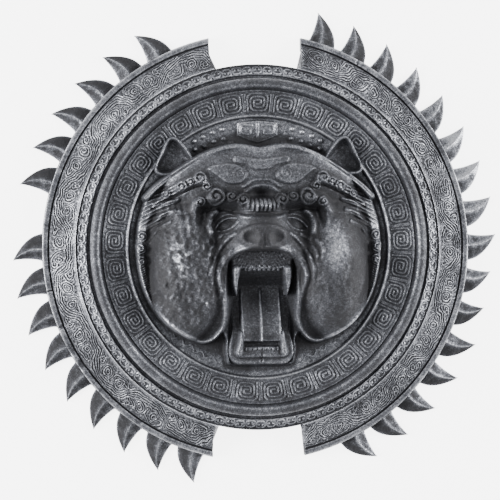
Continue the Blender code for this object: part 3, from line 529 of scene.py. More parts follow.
head = {
    "floor": 25.0, "scale": 0.97, "top": 91.05, "radius": 126.3, "across": 360, "below": 232, "above": 132,
    "split": 0.28, "wall": 6.5, "wallSlope": 2.2, "base": 9.0, "fillet": 7,
    # broad domes: middle, radii, turn, height, power
    "domes": (((0, 8), (121, 112), 0, 36, 0.6), ((68, -20), (39, 72), 4, 47, 0.45), ((0, -4), (56, 50), 0, 50, 0.42),
              ((0, 10), (34, 44), 0, 61, 0.36), ((0, 66), (98, 42), 0, 44, 0.38)),
    # hollows of the sockets, the temple, the middle of the brow, the nostril and the middle of the nose
    "hollows": (((42, 30), (24, 13), -18, 4), ((30, 24), (18, 13), -24, 2.5), ((59, 32), (5.5, 16), 6, 5.5),
                ((0, 51), (12, 6.5), 0, 8), ((13.0, 9.0), (10.2, 9.4), -10, 7.0), ((0, 5), (6, 12), 0, 1.6)),
    # ridges and grooves along lines: points, width, height, share by which it fades, and from where
    "lines": (
        (((43, 35), (48.5, 29), (50, 20), (47, 9)), 4.6, 5.0, 0.7, 0.75),
        (((27, 13), (36, 5), (44, -7), (49, -20), (49, -34)), 3.4, 2.6, 0.7, 0.75),
        (((38, 12), (46, 5), (52, -8), (53, -18)), 3.0, 1.7, 0.7, 0.75),
        (((52, 7), (57, 1), (59, -8)), 3.0, 1.5, 0.7, 0.75),
        (((8, 31), (17, 29), (25, 33)), 2.2, 1.6, 0.7, 0.75),
        (((80, 46), (93, 42), (107, 31)), 3.6, 3.0, 0.7, 0.75),
        (((83, 36), (95, 31), (109, 18)), 3.4, 2.8, 0.7, 0.75),
        (((88, 25), (99, 18), (110, 5)), 3.2, 2.4, 0.7, 0.75),
        (((0, 41), (10, 41.5), (24, 44.5), (40, 46), (55, 45.5), (64, 38), (66, 27)), 8.5, 9, 1, 0.8),
        (((100, 36), (106, 15), (107.5, -8), (105, -30), (97, -52)), 5.5, -4, 0, 0.5),
        (((0, 31.5), (14, 31.5), (26, 34.5), (40, 37.5), (56, 36)), 3.6, -3.4, 0, 0.5),
        (((0, 59.3), (8, 58), (15, 53)), 3.0, 3.0, 0, 0.5),
        (((0, 64.5), (9, 63.5), (17, 58)), 2.6, 2.2, 0, 0.5),
    ),
    # spirals of hair: middle, radius, height, sense of the turn, start
    "hairCurls": (
        ((44.5, 48.9), 9.2, 8.0, 1, 0.0), ((29.6, 48.9), 5.9, 6.5, -1, 1.0), ((18.6, 45.6), 6.6, 6.5, 1, 2.0),
        ((59.5, 43.5), 5.4, 5.5, -1, 0.0), ((59.6, 66.6), 6.6, 5.5, 1, 1.0), ((52.6, 58.6), 4.8, 5.0, -1, 2.0),
        ((77, 59), 5.6, 4.5, 1, 0.0), ((91.5, 52), 4.8, 4.0, -1, 1.0), ((68.5, 63.5), 3.8, 3.5, 1, 0.0),
        ((114, 11.4), 5.2, 5.0, 1, 0.5), ((115.2, -0.4), 5.4, 5.0, -1, 2.0), ((114.3, -12.4), 5.2, 4.6, 1, 1.0),
    ),
    # strands between the brows: middle, radii, height
    "strands": (((2.0, 40.6), (2.0, 6.6), 4.4), ((6.0, 40.0), (2.0, 7.2), 5.2), ((10.0, 40.6), (1.9, 6.6), 4.6),
                ((14.2, 41.2), (2.0, 5.0), 3.6), ((20.5, 38.4), (2.6, 3.6), 2.6)),
    "lockTop": [(52, 69.5), (66, 70), (80, 64.5), (93, 55.5), (104, 42)],
    "lockLow": [(50, 60), (62, 58.5), (76, 52.5), (90, 45.5), (104, 38.5)],
    "cloud": [(54, 75.5), (45, 68.5), (36, 61.6), (27, 59.6), (18.6, 61.4), (13.5, 66.6), (14, 73), (21, 79),
              (34, 80.5), (46, 79)],
    "cloudEye": (22, 70.6),
    "ribbonTop": [(0, 84.2), (12, 86.0), (24, 87.6), (28, 84.5), (25.5, 80.5)],
    "ribbonLow": [(0, 73.2), (8, 74.2), (15, 78.2), (21.5, 79.6), (25.5, 80.5)],
    "studs": ((62, 103.5), (61, 95.5), (53.5, 108), (51.5, 98.5), (44, 112), (42.5, 103), (34.5, 115), (33, 105.5),
              (26, 102)),
    "plate": [(0, 101), (8, 103.5), (20, 108.5), (20, 121.5), (0, 123.5)],
    "plateHook": [(5, 118.5), (15, 118.5), (16, 111.5), (7.5, 110), (7, 114.5), (11.5, 114.6)],
}
eye = {"middle": (34, 21.6), "lean": 0.47, "half": 12.0, "upper": 4.0, "lower": 3.4, "ball": 4.6}

lip = curve([(24, -0.5), (33, -6), (39.5, -14), (42.3, -24), (39.6, -39), (35, -56), (34.6, -72), (41.5, -86.5),
             (55, -92.7), (75, -85.5), (95.6, -69.5), (109.4, -48), (117, -22), (119.5, 2)])
maneEdge = curve([(119.5, 2), (117.5, 22), (110, 48.5)])
arch = curve([(0, 93.2), (25, 96.8), (51, 90), (77, 75), (98, 60), (110, 48.5)])
# the mouth's upper edge, inside the lip's crest; the outline goes over to the crest where this one ends
upperEdge = curve([(0, -1.7), (12, -2.4), (20, -4.4), (26, -7.6), (31.5, -12), (36.5, -19), (38.8, -27), (38.7, -33)])
lipTurn = 33
headOutline = bothSides(np.vstack([upperEdge, lip[lipTurn:], maneEdge[1:], arch[::-1][1:]]))
mouthEdge = curve([(0, -2.4), (12, -2.6), (22, -5), (30, -10.5), (35.5, -18), (37.8, -26), (35.4, -39.5), (30.8, -56),
                   (30.2, -72), (33, -84), (35.5, -96), (34.5, -106), (29, -115.5), (0, -117)])

mouth = {
    "floor": 6, "roof": 25, "wall": 34, "lowWall": 10, "gum": 33, "ribs": 1.2, "ribPitch": (5.2, 5.0), "gap": 12,
    # rows of teeth: height, half width, power of their tops, from and to below the nose, half length of the row
    "toothPitch": 4.6,
    "upperTeeth": (32.5, 2.25, 0.16, (15.5, 18.5, 22.4, 24.4), 18.4),
    "lowerTeeth": (27.5, 2.3, 0.14, (94.5, 96.5, 99.5, 101.5), 16.2),
    # fangs: root, tip, half width, height at the root and at the tip, bend
    "fangs": (((24.6, -21), (24.2, -46.0), 5.1, 39, 34, 1.2), ((21.8, -101.5), (20.4, -81), 5.0, 30, 34, -0.6)),
    "tongue": 5, "tongueRise": 20, "tongueRim": 18.4, "jaw": 9, "jawRise": 11, "chin": 26,
}

def hairCurl(x, y, middle, radius, sense, start):
    # dome with a spiral groove
    away = np.hypot(x - middle[0], y - middle[1]) / radius
    turn = np.arctan2(y - middle[1], x - middle[0]) * sense + start
    wave = ripple(away * 1.75 - turn / fullTurn)
    settled = rise(away, 0.05, 0.3)
    return dome(np.clip(away, 0, 1), 0.35) * (0.36 + 0.64 * wave * settled + 0.5 * (1 - settled))

def fang(side, y, root, tip, width, low, high, bend):
    # round fang along a bowed line from root to tip, thinner towards the tip
    span = np.subtract(tip, root)
    share = np.clip(((side - root[0]) * span[0] + (y - root[1]) * span[1]) / (span @ span), 0, 1)
    bow = bend * np.sin(math.pi * share)
    away = np.hypot(side - root[0] - share * span[0] - bow, y - root[1] - share * span[1])
    half = width + (0.75 - width) * share**1.3
    return np.where(away < half, (low + (high - low) * share) * roundRidge(away, half) ** 0.4, 0)

def teeth(side, down, height, half, power, reach, end):
    # a row of flat-topped ridges, one tooth to each pitch
    pitch = mouth["toothPitch"]
    place = np.abs((side / pitch) % 1 - 0.5) * pitch
    return height * roundRidge(place, half) ** power * band(down, *reach) * (side < end)

def vaultDepth(side, down):
    # how far a point lies below the arched line where the palate starts
    return down - 0.6 - 8.0 * (np.minimum(side, 29) / 28) ** 2.6

def mouthHeight(x, y):
    # palate, teeth, tongue and jaw over the floor of the mouth; down is the distance below the nose
    side, down = np.abs(x), -y
    floor = mouth["floor"] + mouth["roof"] * fall(down, 18, 40)
    level = floor + (mouth["wall"] - floor) * rise(side, 25, 36) * fall(down, 46, 84)
    level = level + mouth["lowWall"] * rise(side, 27, 33) * rise(down, 46, 84)
    # gum and palate with ribs in two directions
    vault = vaultDepth(side, down)
    gum = mouth["gum"] * rise(vault, -2.5, 2.5) * fall(down, 20.5, 23.5) * fall(side, 27.5, 31)
    gum = gum - 3 * rise(vault, 3, 9) * fall(down, 14, 20)
    ribs = np.cos(fullTurn * x / mouth["ribPitch"][0]) * np.cos(fullTurn * (y + 0.02 * x * x) / mouth["ribPitch"][1])
    palate = mouth["ribs"] * ribs + 0.7 * mottle(x, y, 3.4, 66)
    level = softMax(level, gum + palate * (gum > 6), 2)
    # gap between the palate and the lip
    above = hump(vault + 0.8, 2.8) * fall(side, 29, 32)
    level = level - mouth["gap"] * np.maximum(above, hump(side - 31, 2.6) * band(down, 9, 12, 24, 36))
    level = softMax(level, teeth(side, down, *mouth["upperTeeth"]), 0.6)
    # tongue, hollow along its middle, with a raised line in the hollow and round its edge
    tongue = mouth["tongue"] + mouth["tongueRise"] * rise(down, 36, 88) + 1.6 * (side / 20) ** 2
    tongue = tongue + 2.8 * hump(x, 2.2) - 1.2 * hump(side - 9.5, 8) + 1.5 * hump(side - mouth["tongueRim"], 1.3)
    tongue = tongue * fall(side, 18.8, 21.5) * fall(down, 90.5, 94.5) * rise(down, 34, 42)
    level = softMax(level, tongue, 1.2)
    # lower jaw: a rounded box that widens downwards, with a chin behind the teeth and a slit in its middle
    flare = 3.5 * rise(down, 80, 98)
    corner = np.hypot(np.clip(side - (16.5 + flare), 0, None), np.clip(down - 102.0, 0, None)) - 12.0
    jaw = (mouth["jaw"] + mouth["jawRise"] * rise(down, 62, 100)) * fall(corner, -1.5, 1.5) * rise(down, 40, 62)
    level = softMax(level, jaw, 2)
    chin = mouth["chin"] * band(down, 93.8, 96.5, 105, 115) * fall(corner, -9, 0.5)
    level = softMax(level, chin + 1.4 * hump(corner + 1.6, 1.6) * rise(down, 96, 104), 2)
    level = softMax(level, teeth(side, down, *mouth["lowerTeeth"]), 0.6)
    level -= 1.6 * hump(x, 2.2) * band(down, 101, 103, 110, 113)
    for shape in mouth["fangs"]:
        level = softMax(level, fang(side, y, *shape), 0.6)
    # groove along the upper fang
    return level - 2.2 * hump(side - 25.2, 1.5) * band(down, 23.5, 27, 36, 41)

def eyeLid(side, y):
    # almond between two parabolas: below 0 inside and 0 on the lids, with its reach along the eye, the strength
    # of the rims above and below, and the distance across
    (middleX, middleY), lean = eye["middle"], eye["lean"]
    along = (side - middleX) * math.cos(lean) - (y - middleY) * math.sin(lean)
    across = (side - middleX) * math.sin(lean) + (y - middleY) * math.cos(lean)
    reach = np.clip(1 - (along / eye["half"]) ** 2, 0, 1)
    lid = np.where(across > 0, across / eye["upper"], -across / eye["lower"]) - reach
    return lid, reach, np.where(across > 0, 1, 0.55), across

def eyeHeight(side, y):
    # ball in the opening and three rims along the lids
    lid, reach, strength, across = eyeLid(side, y)
    opening = rise(-lid, 0.0, 0.35) * (reach > 0)
    height = 2.6 * opening * dome(np.hypot(np.sqrt(1 - reach) * 8.0, across) / eye["ball"]) - 1.8 * opening
    for offset, rimHeight in ((0.30, 2.3), (1.20, 1.4), (2.05, 0.9)):
        height += rimHeight * hump(lid - offset, 0.46) * rise(reach, 0.0, 0.35) * strength
    return height

def raisedPatch(depth, height, slope, border, borderWidth, groove):
    # flat patch with a slightly higher border, and a shallow groove round it
    patch = height * rise(depth, 0, slope) + border * hump(depth - 1.8, borderWidth)
    return np.where(depth > 0, patch, -0.4 * hump(depth, groove))

def foreheadHeight(side, y):
    # lock that sweeps out from the brow with hairs along it, a cloud with a spiral groove, and the ribbon over it
    lockLow = curve(head["lockLow"])
    depth = depthInside(side, y, np.vstack([curve(head["lockTop"]), lockLow[::-1]]))
    fromLow, _ = pathDistance(side, y, lockLow)
    lock = 4.0 * rise(depth, 0, 3) + 0.45 * np.cos(fullTurn * fromLow / 3.0)
    height = np.where(depth > 0, lock, -2.8 * hump(fromLow + 0.6, 2.2))
    height += raisedPatch(depthInside(side, y, curve(head["cloud"])), 2.2, 2.4, 0.4, 1.6, 2.0)
    eyeX, eyeY = head["cloudEye"]
    away = np.hypot(side - eyeX, y - eyeY)
    wave = ripple(away / 3.6 + np.arctan2(y - eyeY, side - eyeX) / fullTurn)
    height -= 0.9 * wave * fall(away, 6.5, 8)
    ribbon = bothSides(np.vstack([curve(head["ribbonTop"]), curve(head["ribbonLow"])[::-1]]))
    return height + raisedPatch(depthInside(side, y, ribbon), 1.8, 2.2, 0.3, 1.4, 1.8)

def furHeight(side, y):
    # short hairs on the temple and along the mane, at an even pitch in degrees
    turn, reach = np.degrees(np.arctan2(y, side)), np.hypot(side, y)
    fur = band(turn, 9, 13, 31, 36) * rise(reach, 90, 97)
    return 0.75 * fur * np.cos(fullTurn * (turn + 0.5 * (reach - 90)) / 2.4)

def noseHeight(side, y):
    # raised pad with a rim over it and a seam down its middle
    nose = oval(side, y, (0, 10.4), (26, 12.0))
    pad = 4.6 * rise(1 - nose, -0.08, 0.26) + 1.0 * hump(nose - 0.93, 0.08) * rise(y, 8, 16)
    return pad + 0.9 * hump(side - 2.2, 0.9) * fall(y, 9, 13)

def cheekHeight(x, y):
    # lumps and slanting creases, rougher on the left
    side = np.abs(x)
    cheek = rise(1 - oval(side, y, (72, -14), (46, 74), 4), 0, 0.25) * (1 - 0.7 * rise(x, -10, 60))
    lumps = 1.1 * mottle(x, y, 17, 51) + 0.75 * mottle(x, 0.7 * y, 6.5, 52) + 0.3 * mottle(x, y, 3.4, 54)
    return cheek * lumps + 0.9 * mottle(x, y, 7.5, 53) * spot(side, y, (50, 0), (20, 26), 20)

def lipHeight(side, y):
    # ridge along the lip, highest beside the fangs, with hairs where it goes over to the mane
    away, place = pathDistance(side, y, lip)
    height = 2.6 + 2.8 * rise(place, 0.04, 0.2) - 2.2 * rise(place, 0.35, 0.7)
    width = 4.0 + 1.6 * rise(place, 0.05, 0.2) - 0.8 * rise(place, 0.5, 0.8)
    hairs = 0.9 * np.cos(fullTurn * (place * 108 - 0.16 * away)) * hump(away - 4, 5.5) * rise(place, 0.70, 0.78)
    return height * hump(away, width) * rise(place, 0.0, 0.04) + hairs

def groundHeight(side, y):
    # ground outside the outline: a wavy cord below, and the cap's studs and its plate with hooks above
    angle = np.arctan2(y, side)
    cord = np.abs(np.hypot(side, y) - 117.6 - 2.0 * np.cos(62 * angle))
    ground = 0.9 * roundRidge(np.minimum(cord / 1.1, 1), 1.0) * band(-angle, 0.25, 0.32, 1.2, 1.3)
    for studX, studY in head["studs"]:
        ground = np.maximum(ground, 2.8 * dome(np.hypot(side - studX, y - studY) / 2.6) - 0.2)
    depth = depthInside(side, y, bothSides(head["plate"]))
    hooks = 0.9 * roundRidge(lineDistance(side, y, head["plateHook"], 4), 0.9) ** 0.7
    hooks = hooks + 0.9 * (side < 1.1) * rise(y, 105, 107)
    plate = 3.0 * rise(depth, 0, 0.8) - 0.7 * hump(depth - 1.9, 0.8) + hooks * (depth > 2.2)
    return np.maximum(ground, np.where(depth > 0, plate, 0))

def headHeight(x, y):
    # broad domes joined by fillets, with all smaller forms added, then the ground, the mouth and the arch
    side = np.abs(x)
    level = np.full(x.shape, head["base"])
    for middle, radii, turn, height, power in head["domes"]:
        level = softMax(level, height * dome(oval(side, y, middle, radii, turn), power), head["fillet"])
    for middle, radii, turn, depth in head["hollows"]:
        level -= depth * spot(side, y, middle, radii, turn)
    for points, width, height, fade, fadeFrom in head["lines"]:
        away, place = pathDistance(side, y, curve(points))
        level += height * hump(away, width) * (1 - fade * rise(place, fadeFrom, 1.0))
    for middle, radius, height, sense, start in head["hairCurls"]:
        level += height * hairCurl(side, y, middle, radius, sense, start)
    for middle, radii, height in head["strands"]:
        level += height * dome(oval(side, y, middle, radii), 0.6)
    for part in (eyeHeight, foreheadHeight, furHeight, noseHeight, lipHeight):
        level += part(side, y)
    level += cheekHeight(x, y)
    # inside the lips the ground is the mouth; down its sides the two slopes overlap, so that no trench is left
    ground = groundHeight(side, y)
    depth = depthInside(x, y, headOutline)
    into = depthInside(x, y, bothSides(mouthEdge))
    beside = rise(side, 16, 24) * fall(-y, 76, 92) * rise(into, -14, -8)
    above = fall(side, 16, 24) * (y > -30)
    opening = rise(into, -0.4 - 11 * beside - 1.6 * above, 2.6 - 8 * beside - 2.0 * above)
    ground = ground + (mouthHeight(x, y) - ground) * opening
    level = ground + (level - ground) * rise(depth, -2.6 - 0.8 * beside, 1.8)
    # crest along the mouth's upper edge
    level += 1.8 * hump(depth - 2.6, 1.9) * fall(-y, 30, 40) * fall(side, 43, 46) * (y < 6)
    # arch over the forehead: a double ridge, lower towards its ends
    away, _ = pathDistance(side, y, arch)
    crest = (37 - 16 * rise(side, 30, 112)) * dome(away / 4.0, 0.45) - 2.2 * hump(away, 1.5)
    return softMax(level, crest, 1.2)

def discPoints(u, v):
    # square [-1, 1] x [-1, 1] onto a disc: x = u sqrt(1 - v v / 2), y = v sqrt(1 - u u / 2)
    return head["radius"] * u * np.sqrt(1 - v * v / 2), head["radius"] * v * np.sqrt(1 - u * u / 2)

def hollowTable():
    # back of the wall: the front less a ball of the wall's radius, and outside it no steeper than the slope
    step, reach, around = 2.0, 66, 13
    axis = np.arange(-reach, reach + 1) * step
    x, y = np.meshgrid(axis, axis, indexing="ij")
    front = np.maximum(headHeight(x, y) * head["scale"], 0) * (np.hypot(x, y) < 125)
    lowest = np.full(front.shape, 1e3)
    for i in range(-around, around + 1):
        for j in range(-around, around + 1):
            away = math.hypot(i, j) * step / head["wall"]
            if away > 4:
                continue
            drop = math.sqrt(1 - away**2) if away < 1 else -head["wallSlope"] * (away - 1)
            lowest = np.minimum(lowest, np.roll(front, (i, j), (0, 1)) - head["wall"] * drop)
    return axis, lowest + head["floor"]

def sampled(table, x, y):
    # bilinear reading of a square table
    axis, values = table
    fx, fy = (np.clip((c - axis[0]) / (axis[1] - axis[0]), 0, len(axis) - 1.001) for c in (x, y))
    i, j = fx.astype(int), fy.astype(int)
    a, b = fx - i, fy - j
    near = values[i, j] * (1 - a) * (1 - b) + values[i + 1, j] * a * (1 - b)
    return near + values[i, j + 1] * (1 - a) * b + values[i + 1, j + 1] * a * b

# Wear of the head with painted light and shade, from 0, dark paint, to 1, bare silver. Spots: amount, middle, radii,
# turn.

headPaint = {
    # cheeks: painted shade down the outer slope of each cheek, and painted highlights on the brow locks over them
    "cheeks": ((-0.40, (-99, -14), (18, 62), 4), (-0.40, (98, -12), (17, 62), -4),
               (0.24, (-86, 54), (38, 18), -30), (0.10, (92, 46), (34, 16), -30)),
    # beside the mouth, and painted shadow under the brow and between the eyes
    "muzzle": ((0.14, (-41, -28), (6, 28), -4), (0.08, (43, -34), (6, 26), 4),
               (-0.20, (1, 27), (30, 9), 0), (-0.12, (0, 40), (20, 9), 0)),
    # nostrils and the curls of the brow, the same on both sides
    "mirrored": ((-0.08, (12.8, 9.0), (9.5, 9.0), -10), (-0.26, (30, 47.5), (38, 10), 0)),
    "wear": (2, 9, 3.6), "dark": 0.09, "recess": 0.26, "recessReach": 22, "recessDepth": 9, "wallWorn": 0.34,
    "lowest": 0.20, "highest": 0.6, "squeeze": 0.6,
}

def spotted(x, y, rows):
    return sum(amount * spot(x, y, middle, radii, turn) for amount, middle, radii, turn in rows)

def toward(wearAndPaintedLight, mean, contrast, share):
    # goes over to a mean with less contrast, by the share
    return wearAndPaintedLight + (mean + contrast * (wearAndPaintedLight - 0.3) - wearAndPaintedLight) * share

def cheekWearAndPaintedLight(x, y):
    # dark cheeks with creases, a large rubbed patch on the left cheek and a painted highlight on the right one, and the
    # painted shade and highlights listed under cheeks
    side = np.abs(x)
    cheek = rise(1 - oval(side, y, (72, -18), (48, 72), 4), 0, 0.25)
    left = spot(x, y, (-78, -8), (22, 38), -8)
    right = spot(x, y, (70, -6), (19, 44), 6) + 0.5 * spot(x, y, (72, 5), (16, 28), 6)
    lumps = mottle(x, y, 13, 61) + 0.5 * mottle(x, y, 4.5, 63)
    creases = mottle(x, y, 8, 62) + 0.6 * mottle(x, y, 3.6, 64)
    wearAndPaintedLight = -cheek * (0.25 - 0.19 * creases * (1.0 - 0.55 * rise(x, 0, 30)))
    wearAndPaintedLight = wearAndPaintedLight + left * (0.74 * rise(lumps, -0.2, 0.5) - 0.02) + right * (0.50 + 0.06 * lumps)
    return wearAndPaintedLight + spotted(x, y, headPaint["cheeks"])

def mouthWearAndPaintedShade(wearAndPaintedLight, x, y):
    # darker and less varied than the rest, with lines on the tongue and painted shadow, black, in the gaps beside and
    # over the palate
    side, down = np.abs(x), -y
    lines = hump(x, 1.5) * rise(down, 42, 47) + 0.8 * hump(side - mouth["tongueRim"], 1.2) * rise(down, 44, 60)
    deep = 0.40 + 0.65 * (wearAndPaintedLight - 0.5) - 0.10 * (side < 19) + 0.26 * lines * fall(down, 88, 92)
    deep = deep - 0.12 * band(side, 20, 23, 32, 36) * band(down, 24, 50, 84, 92)
    deep = np.maximum(deep, 0.22 + 0.06 * fall(down, 20, 30)) + 0.12 * hump(x - 1.5, 5) * fall(down, 19, 22)
    # painted shadow in the gaps beside and over the palate
    gap = np.maximum(rise(side, 27.5, 29.5), fall(vaultDepth(side, down), 0.5, 2.5)) * fall(down, 30, 50)
    return deep - 0.22 * gap + 0.12 * spot(side, y, (9, -70), (9, 24))

def headWearAndPaintedLight(x, y, z):
    # crests are rubbed bright and recesses keep the dark paint; painted light and shade are added to this below
    side, down = np.abs(x), -y
    recess = np.clip((blurred(z, headPaint["recessReach"]) - z) / headPaint["recessDepth"], 0, 1)
    wearAndPaintedLight = wornOf(z, *headPaint["wear"], wrap=False) - headPaint["dark"] - headPaint["recess"] * recess
    wearAndPaintedLight = wearAndPaintedLight + cheekWearAndPaintedLight(x, y) - 0.08 * band(y, 60, 70, 98, 104)
    forehead = rise(1 - oval(side, y, (14, 74), (56, 24)), 0, 0.35)
    wearAndPaintedLight = toward(wearAndPaintedLight, 0.40, 0.45, forehead)
    # the cheek's border is rubbed bright, with painted light making it brighter on the left, and a darker band lies
    # inside it
    away, place = pathDistance(side, y, lip)
    outer = rise(place, 0.36, 0.46) * (0.6 + 0.4 * (x < 0))
    wearAndPaintedLight = wearAndPaintedLight + outer * (0.32 * hump(away, 4.6) - 0.22 * hump(away - 11, 8.0))
    # the brow's curls and the muzzle keep more of their paint
    painted = np.maximum(0.55 * spot(side, y, (30, 46), (48, 16)), 0.50 * spot(x, y, (0, 16), (54, 28)))
    wearAndPaintedLight = wearAndPaintedLight - painted * (wearAndPaintedLight - 0.10) - 0.03
    # eyes with bright rims, and the ground and its outer edge painted lighter, as painted light against the shade round
    # the head
    lid, reach, strength, _ = eyeLid(side, y)
    rims = sum(amount * hump(lid - offset, width) for amount, offset, width in
               ((0.6, 0.30, 0.46), (0.4, 1.20, 0.4), (-0.8, -0.26, 0.3), (-0.6, 0.75, 0.3)))
    inMouth = fall(side, 34, 38) * band(down, 2, 6, 117, 120)
    ground, edge = rise(-z, -31, -27), rise(np.hypot(x, y), 108, 116)
    wearAndPaintedLight = wearAndPaintedLight + 0.13 * spot(side, y, (35, 22), (23, 16), -27) + 0.22 * rims * rise(reach, 0.0, 0.3) * strength
    wearAndPaintedLight = wearAndPaintedLight + 0.26 * ground * (1 - inMouth) + 0.14 * edge
    # black nose with a rubbed line over it
    nose = rise(1 - oval(x, y, (0, 10), (29, 15)), 0, 0.2)
    wearAndPaintedLight = toward(wearAndPaintedLight, 0.05, 0.26, nose) + 0.16 * nose * hump(y - 20.5 + 0.012 * x * x, 1.8) * (side < 15)
    wearAndPaintedLight = wearAndPaintedLight + spotted(x, y, headPaint["muzzle"]) + spotted(side, y, headPaint["mirrored"])
    wearAndPaintedLight = wearAndPaintedLight + (mouthWearAndPaintedShade(wearAndPaintedLight, x, y) - wearAndPaintedLight) * inMouth
    # the steep wall behind the arch is evenly grey
    steep = rise(np.hypot(*np.gradient(z)), 1.2, 2.4) * rise(y, 34, 44) * rise(np.hypot(x, y), 84, 90)
    wearAndPaintedLight = wearAndPaintedLight + (headPaint["wallWorn"] - wearAndPaintedLight) * blurred(steep, 1)
    # both ends of the scale are drawn in
    for limit, beyond in ((headPaint["lowest"], np.less), (headPaint["highest"], np.greater)):
        wearAndPaintedLight = np.where(beyond(wearAndPaintedLight, limit), limit + headPaint["squeeze"] * (wearAndPaintedLight - limit), wearAndPaintedLight)
    return wearAndPaintedLight

def buildHeadPart(name, low, high, rows, hollow):
    # front grid in fine steps and back grid in steps four times as long, joined round the border by fans
    v, u = np.meshgrid(np.linspace(low, high, rows + 1), np.linspace(-1, 1, head["across"] + 1), indexing="ij")
    x, y = discPoints(u, v)
    z = head["floor"] + head["scale"] * headHeight(x, y)
    z = np.where(np.hypot(x, y) > 125.0, np.minimum(z, head["floor"]), z)
    rough = 0.14 * mottle(x, y, 9, 31, z * 0.5) + 0.22 * mottle(x, y, 26, 32, z * 0.5)
    z = np.minimum(z + rough, head["top"])
    backX, backY = x[::4, ::4], y[::4, ::4]
    radius = np.hypot(backX, backY)
    border = np.where(radius > 119.1, 18.5 + (radius - 119.1) * 0.505, 1e3)
    backZ = np.minimum(sampled(hollow, backX, backY), border)
    index = np.arange(x.size).reshape(x.shape)
    coarse = x.size + np.arange(backX.size).reshape(backX.shape)
    def quads(grid):
        return np.stack([grid[:-1, :-1], grid[:-1, 1:], grid[1:, 1:], grid[1:, :-1]], axis=-1).reshape(-1, 4)
    def loop(grid):
        return np.concatenate([grid[0, :-1], grid[:-1, -1], grid[-1, :0:-1], grid[:0:-1, 0]])
    here, after = loop(coarse), np.roll(loop(coarse), -1)
    fine = [np.roll(loop(index), -k)[::4] for k in range(5)]
    walls = [np.stack(corners, -1) for corners in ((here, fine[1], fine[0]), (here, fine[2], fine[1]),
             (here, after, fine[2]), (after, fine[3], fine[2]), (after, fine[4], fine[3]))]
    points = np.concatenate([np.stack(grid, -1).reshape(-1, 3) for grid in ((x, y, z), (backX, backY, backZ))])
    mask = np.concatenate([headWearAndPaintedLight(x, y, z).ravel(), np.full(backX.size, backWorn)])
    return makePiece(name, points, [quads(index), quads(coarse)[:, ::-1], np.concatenate(walls)], mask)

ear = {
    "outline": [(62, 84), (70.5, 98), (80, 107), (88, 106), (95.5, 92), (101, 73), (84, 70), (62, 84)],
    # from the root over the rim into the hollow: distance drawn in, height over the floor, wear
    "steps": [(0.0, -6.0, 0.3), (0.0, 0.0, 0.3), (0.1, 12.0, 0.4), (0.6, 16.0, 0.5), (1.4, 17.4, 0.68),
              (2.4, 17.3, 0.66), (3.3, 16.0, 0.45), (4.2, 13.2, 0.28), (5.6, 10.2, 0.25), (7.6, 8.2, 0.30),
              (9.8, 7.6, 0.34)],
    "rootCover": (1.2, 2.4),
}

def buildEar(name, side, hollow):
    # rings of a rounded three-cornered outline, drawn in towards its middle and up a raised rim into a hollow
    outline = curve(ear["outline"], 7)[:-1]
    middle = outline.mean(axis=0)
    away = outline - middle
    reach = np.hypot(away[:, 0], away[:, 1])[:, None]
    rows = []
    for inset, level, _ in ear["steps"]:
        flat = middle + away * np.maximum(1 - inset / reach, 0.12)
        rows.append(np.column_stack([side * flat[:, 0], flat[:, 1], np.full(len(flat), head["floor"] + level)]))
    rows = np.array(rows)
    rows[1:, :, 2] += 0.35 * mottle(rows[1:, :, 0], rows[1:, :, 1], 12, 41, rows[1:, :, 2])
    # its root stays in the head's wall, over the hollow
    under = sampled(hollow, rows[0, :, 0], rows[0, :, 1])
    for index, cover in enumerate(ear["rootCover"]):
        rows[index, :, 2] = np.maximum(rows[index, :, 2], under + cover)
    faces = sweptFaces(len(rows), len(outline), False)
    if side < 0:
        faces = [group[:, ::-1] for group in faces]
    wearAndPaintedLight = np.repeat([[wear] for _, _, wear in ear["steps"]], len(outline), axis=1)
    return makePiece(name, rows.reshape(-1, 3), faces, wearAndPaintedLight)

# Grip: an oval bar, fuller in the middle, with the slot for the strap from end to end

grip = {
    "length": 118.0, "offset": 34.0, "width": 25.0, "thick": 20.0, "level": 3.0, "around": 64, "along": 60,
    "fullness": 0.14, "rounding": 0.10, "rings": 6.5, "ringDepth": 0.25,
    "slotWide": 15.6, "slotThick": 4.1, "slotMiddle": 13.25,
}

def buildGrip():
    # points go along the outside from one end to the other and back through the slot
    turn = np.arange(grip["around"]) * fullTurn / grip["around"]
    share = np.concatenate([[-1], np.linspace(-0.965, 0.965, grip["along"]), [1]])
    full = 1 - grip["fullness"] * share**2
    full[[0, -1]] -= grip["rounding"]
    place = share * grip["length"] / 2
    middle = grip["level"] + grip["thick"] / 2
    groove = grip["ringDepth"] * np.cos(fullTurn * share * grip["rings"]) ** 12 * (np.abs(share) < 0.85)
    outY, outZ = ((full - 2 * groove / size)[:, None] * size / 2 * wave[None, :]
                  for size, wave in ((grip["width"], np.cos(turn)), (grip["thick"], np.sin(turn))))
    reach = 2 * np.maximum(np.abs(np.cos(turn)) / grip["slotWide"], np.abs(np.sin(turn)) / grip["slotThick"])
    inY, inZ = np.cos(turn) / reach + grip["offset"], np.sin(turn) / reach + grip["slotMiddle"]
    outside = np.stack([place[:, None] + 0 * outY, outY + grip["offset"], outZ + middle], axis=-1)
    slot = np.stack([np.stack([np.full(len(turn), end), inY, inZ], axis=-1) for end in place[[-1, 0]]])
    wearAndPaintedLight = np.concatenate([0.5 + 0.3 * (1 - share[:, None] ** 2) + 0 * outY, np.full(slot.shape[:2], 0.2)])
    points = np.concatenate([outside, slot])
    faces = [group[:, ::-1] for group in sweptFaces(len(points), len(turn), True)]
    return makePiece("woodGrip", points.reshape(-1, 3), faces, wearAndPaintedLight, node="grip")

# Materials. Groups: rubbed paint over cast relief, fine casting texture, wood grain and blackened steel.

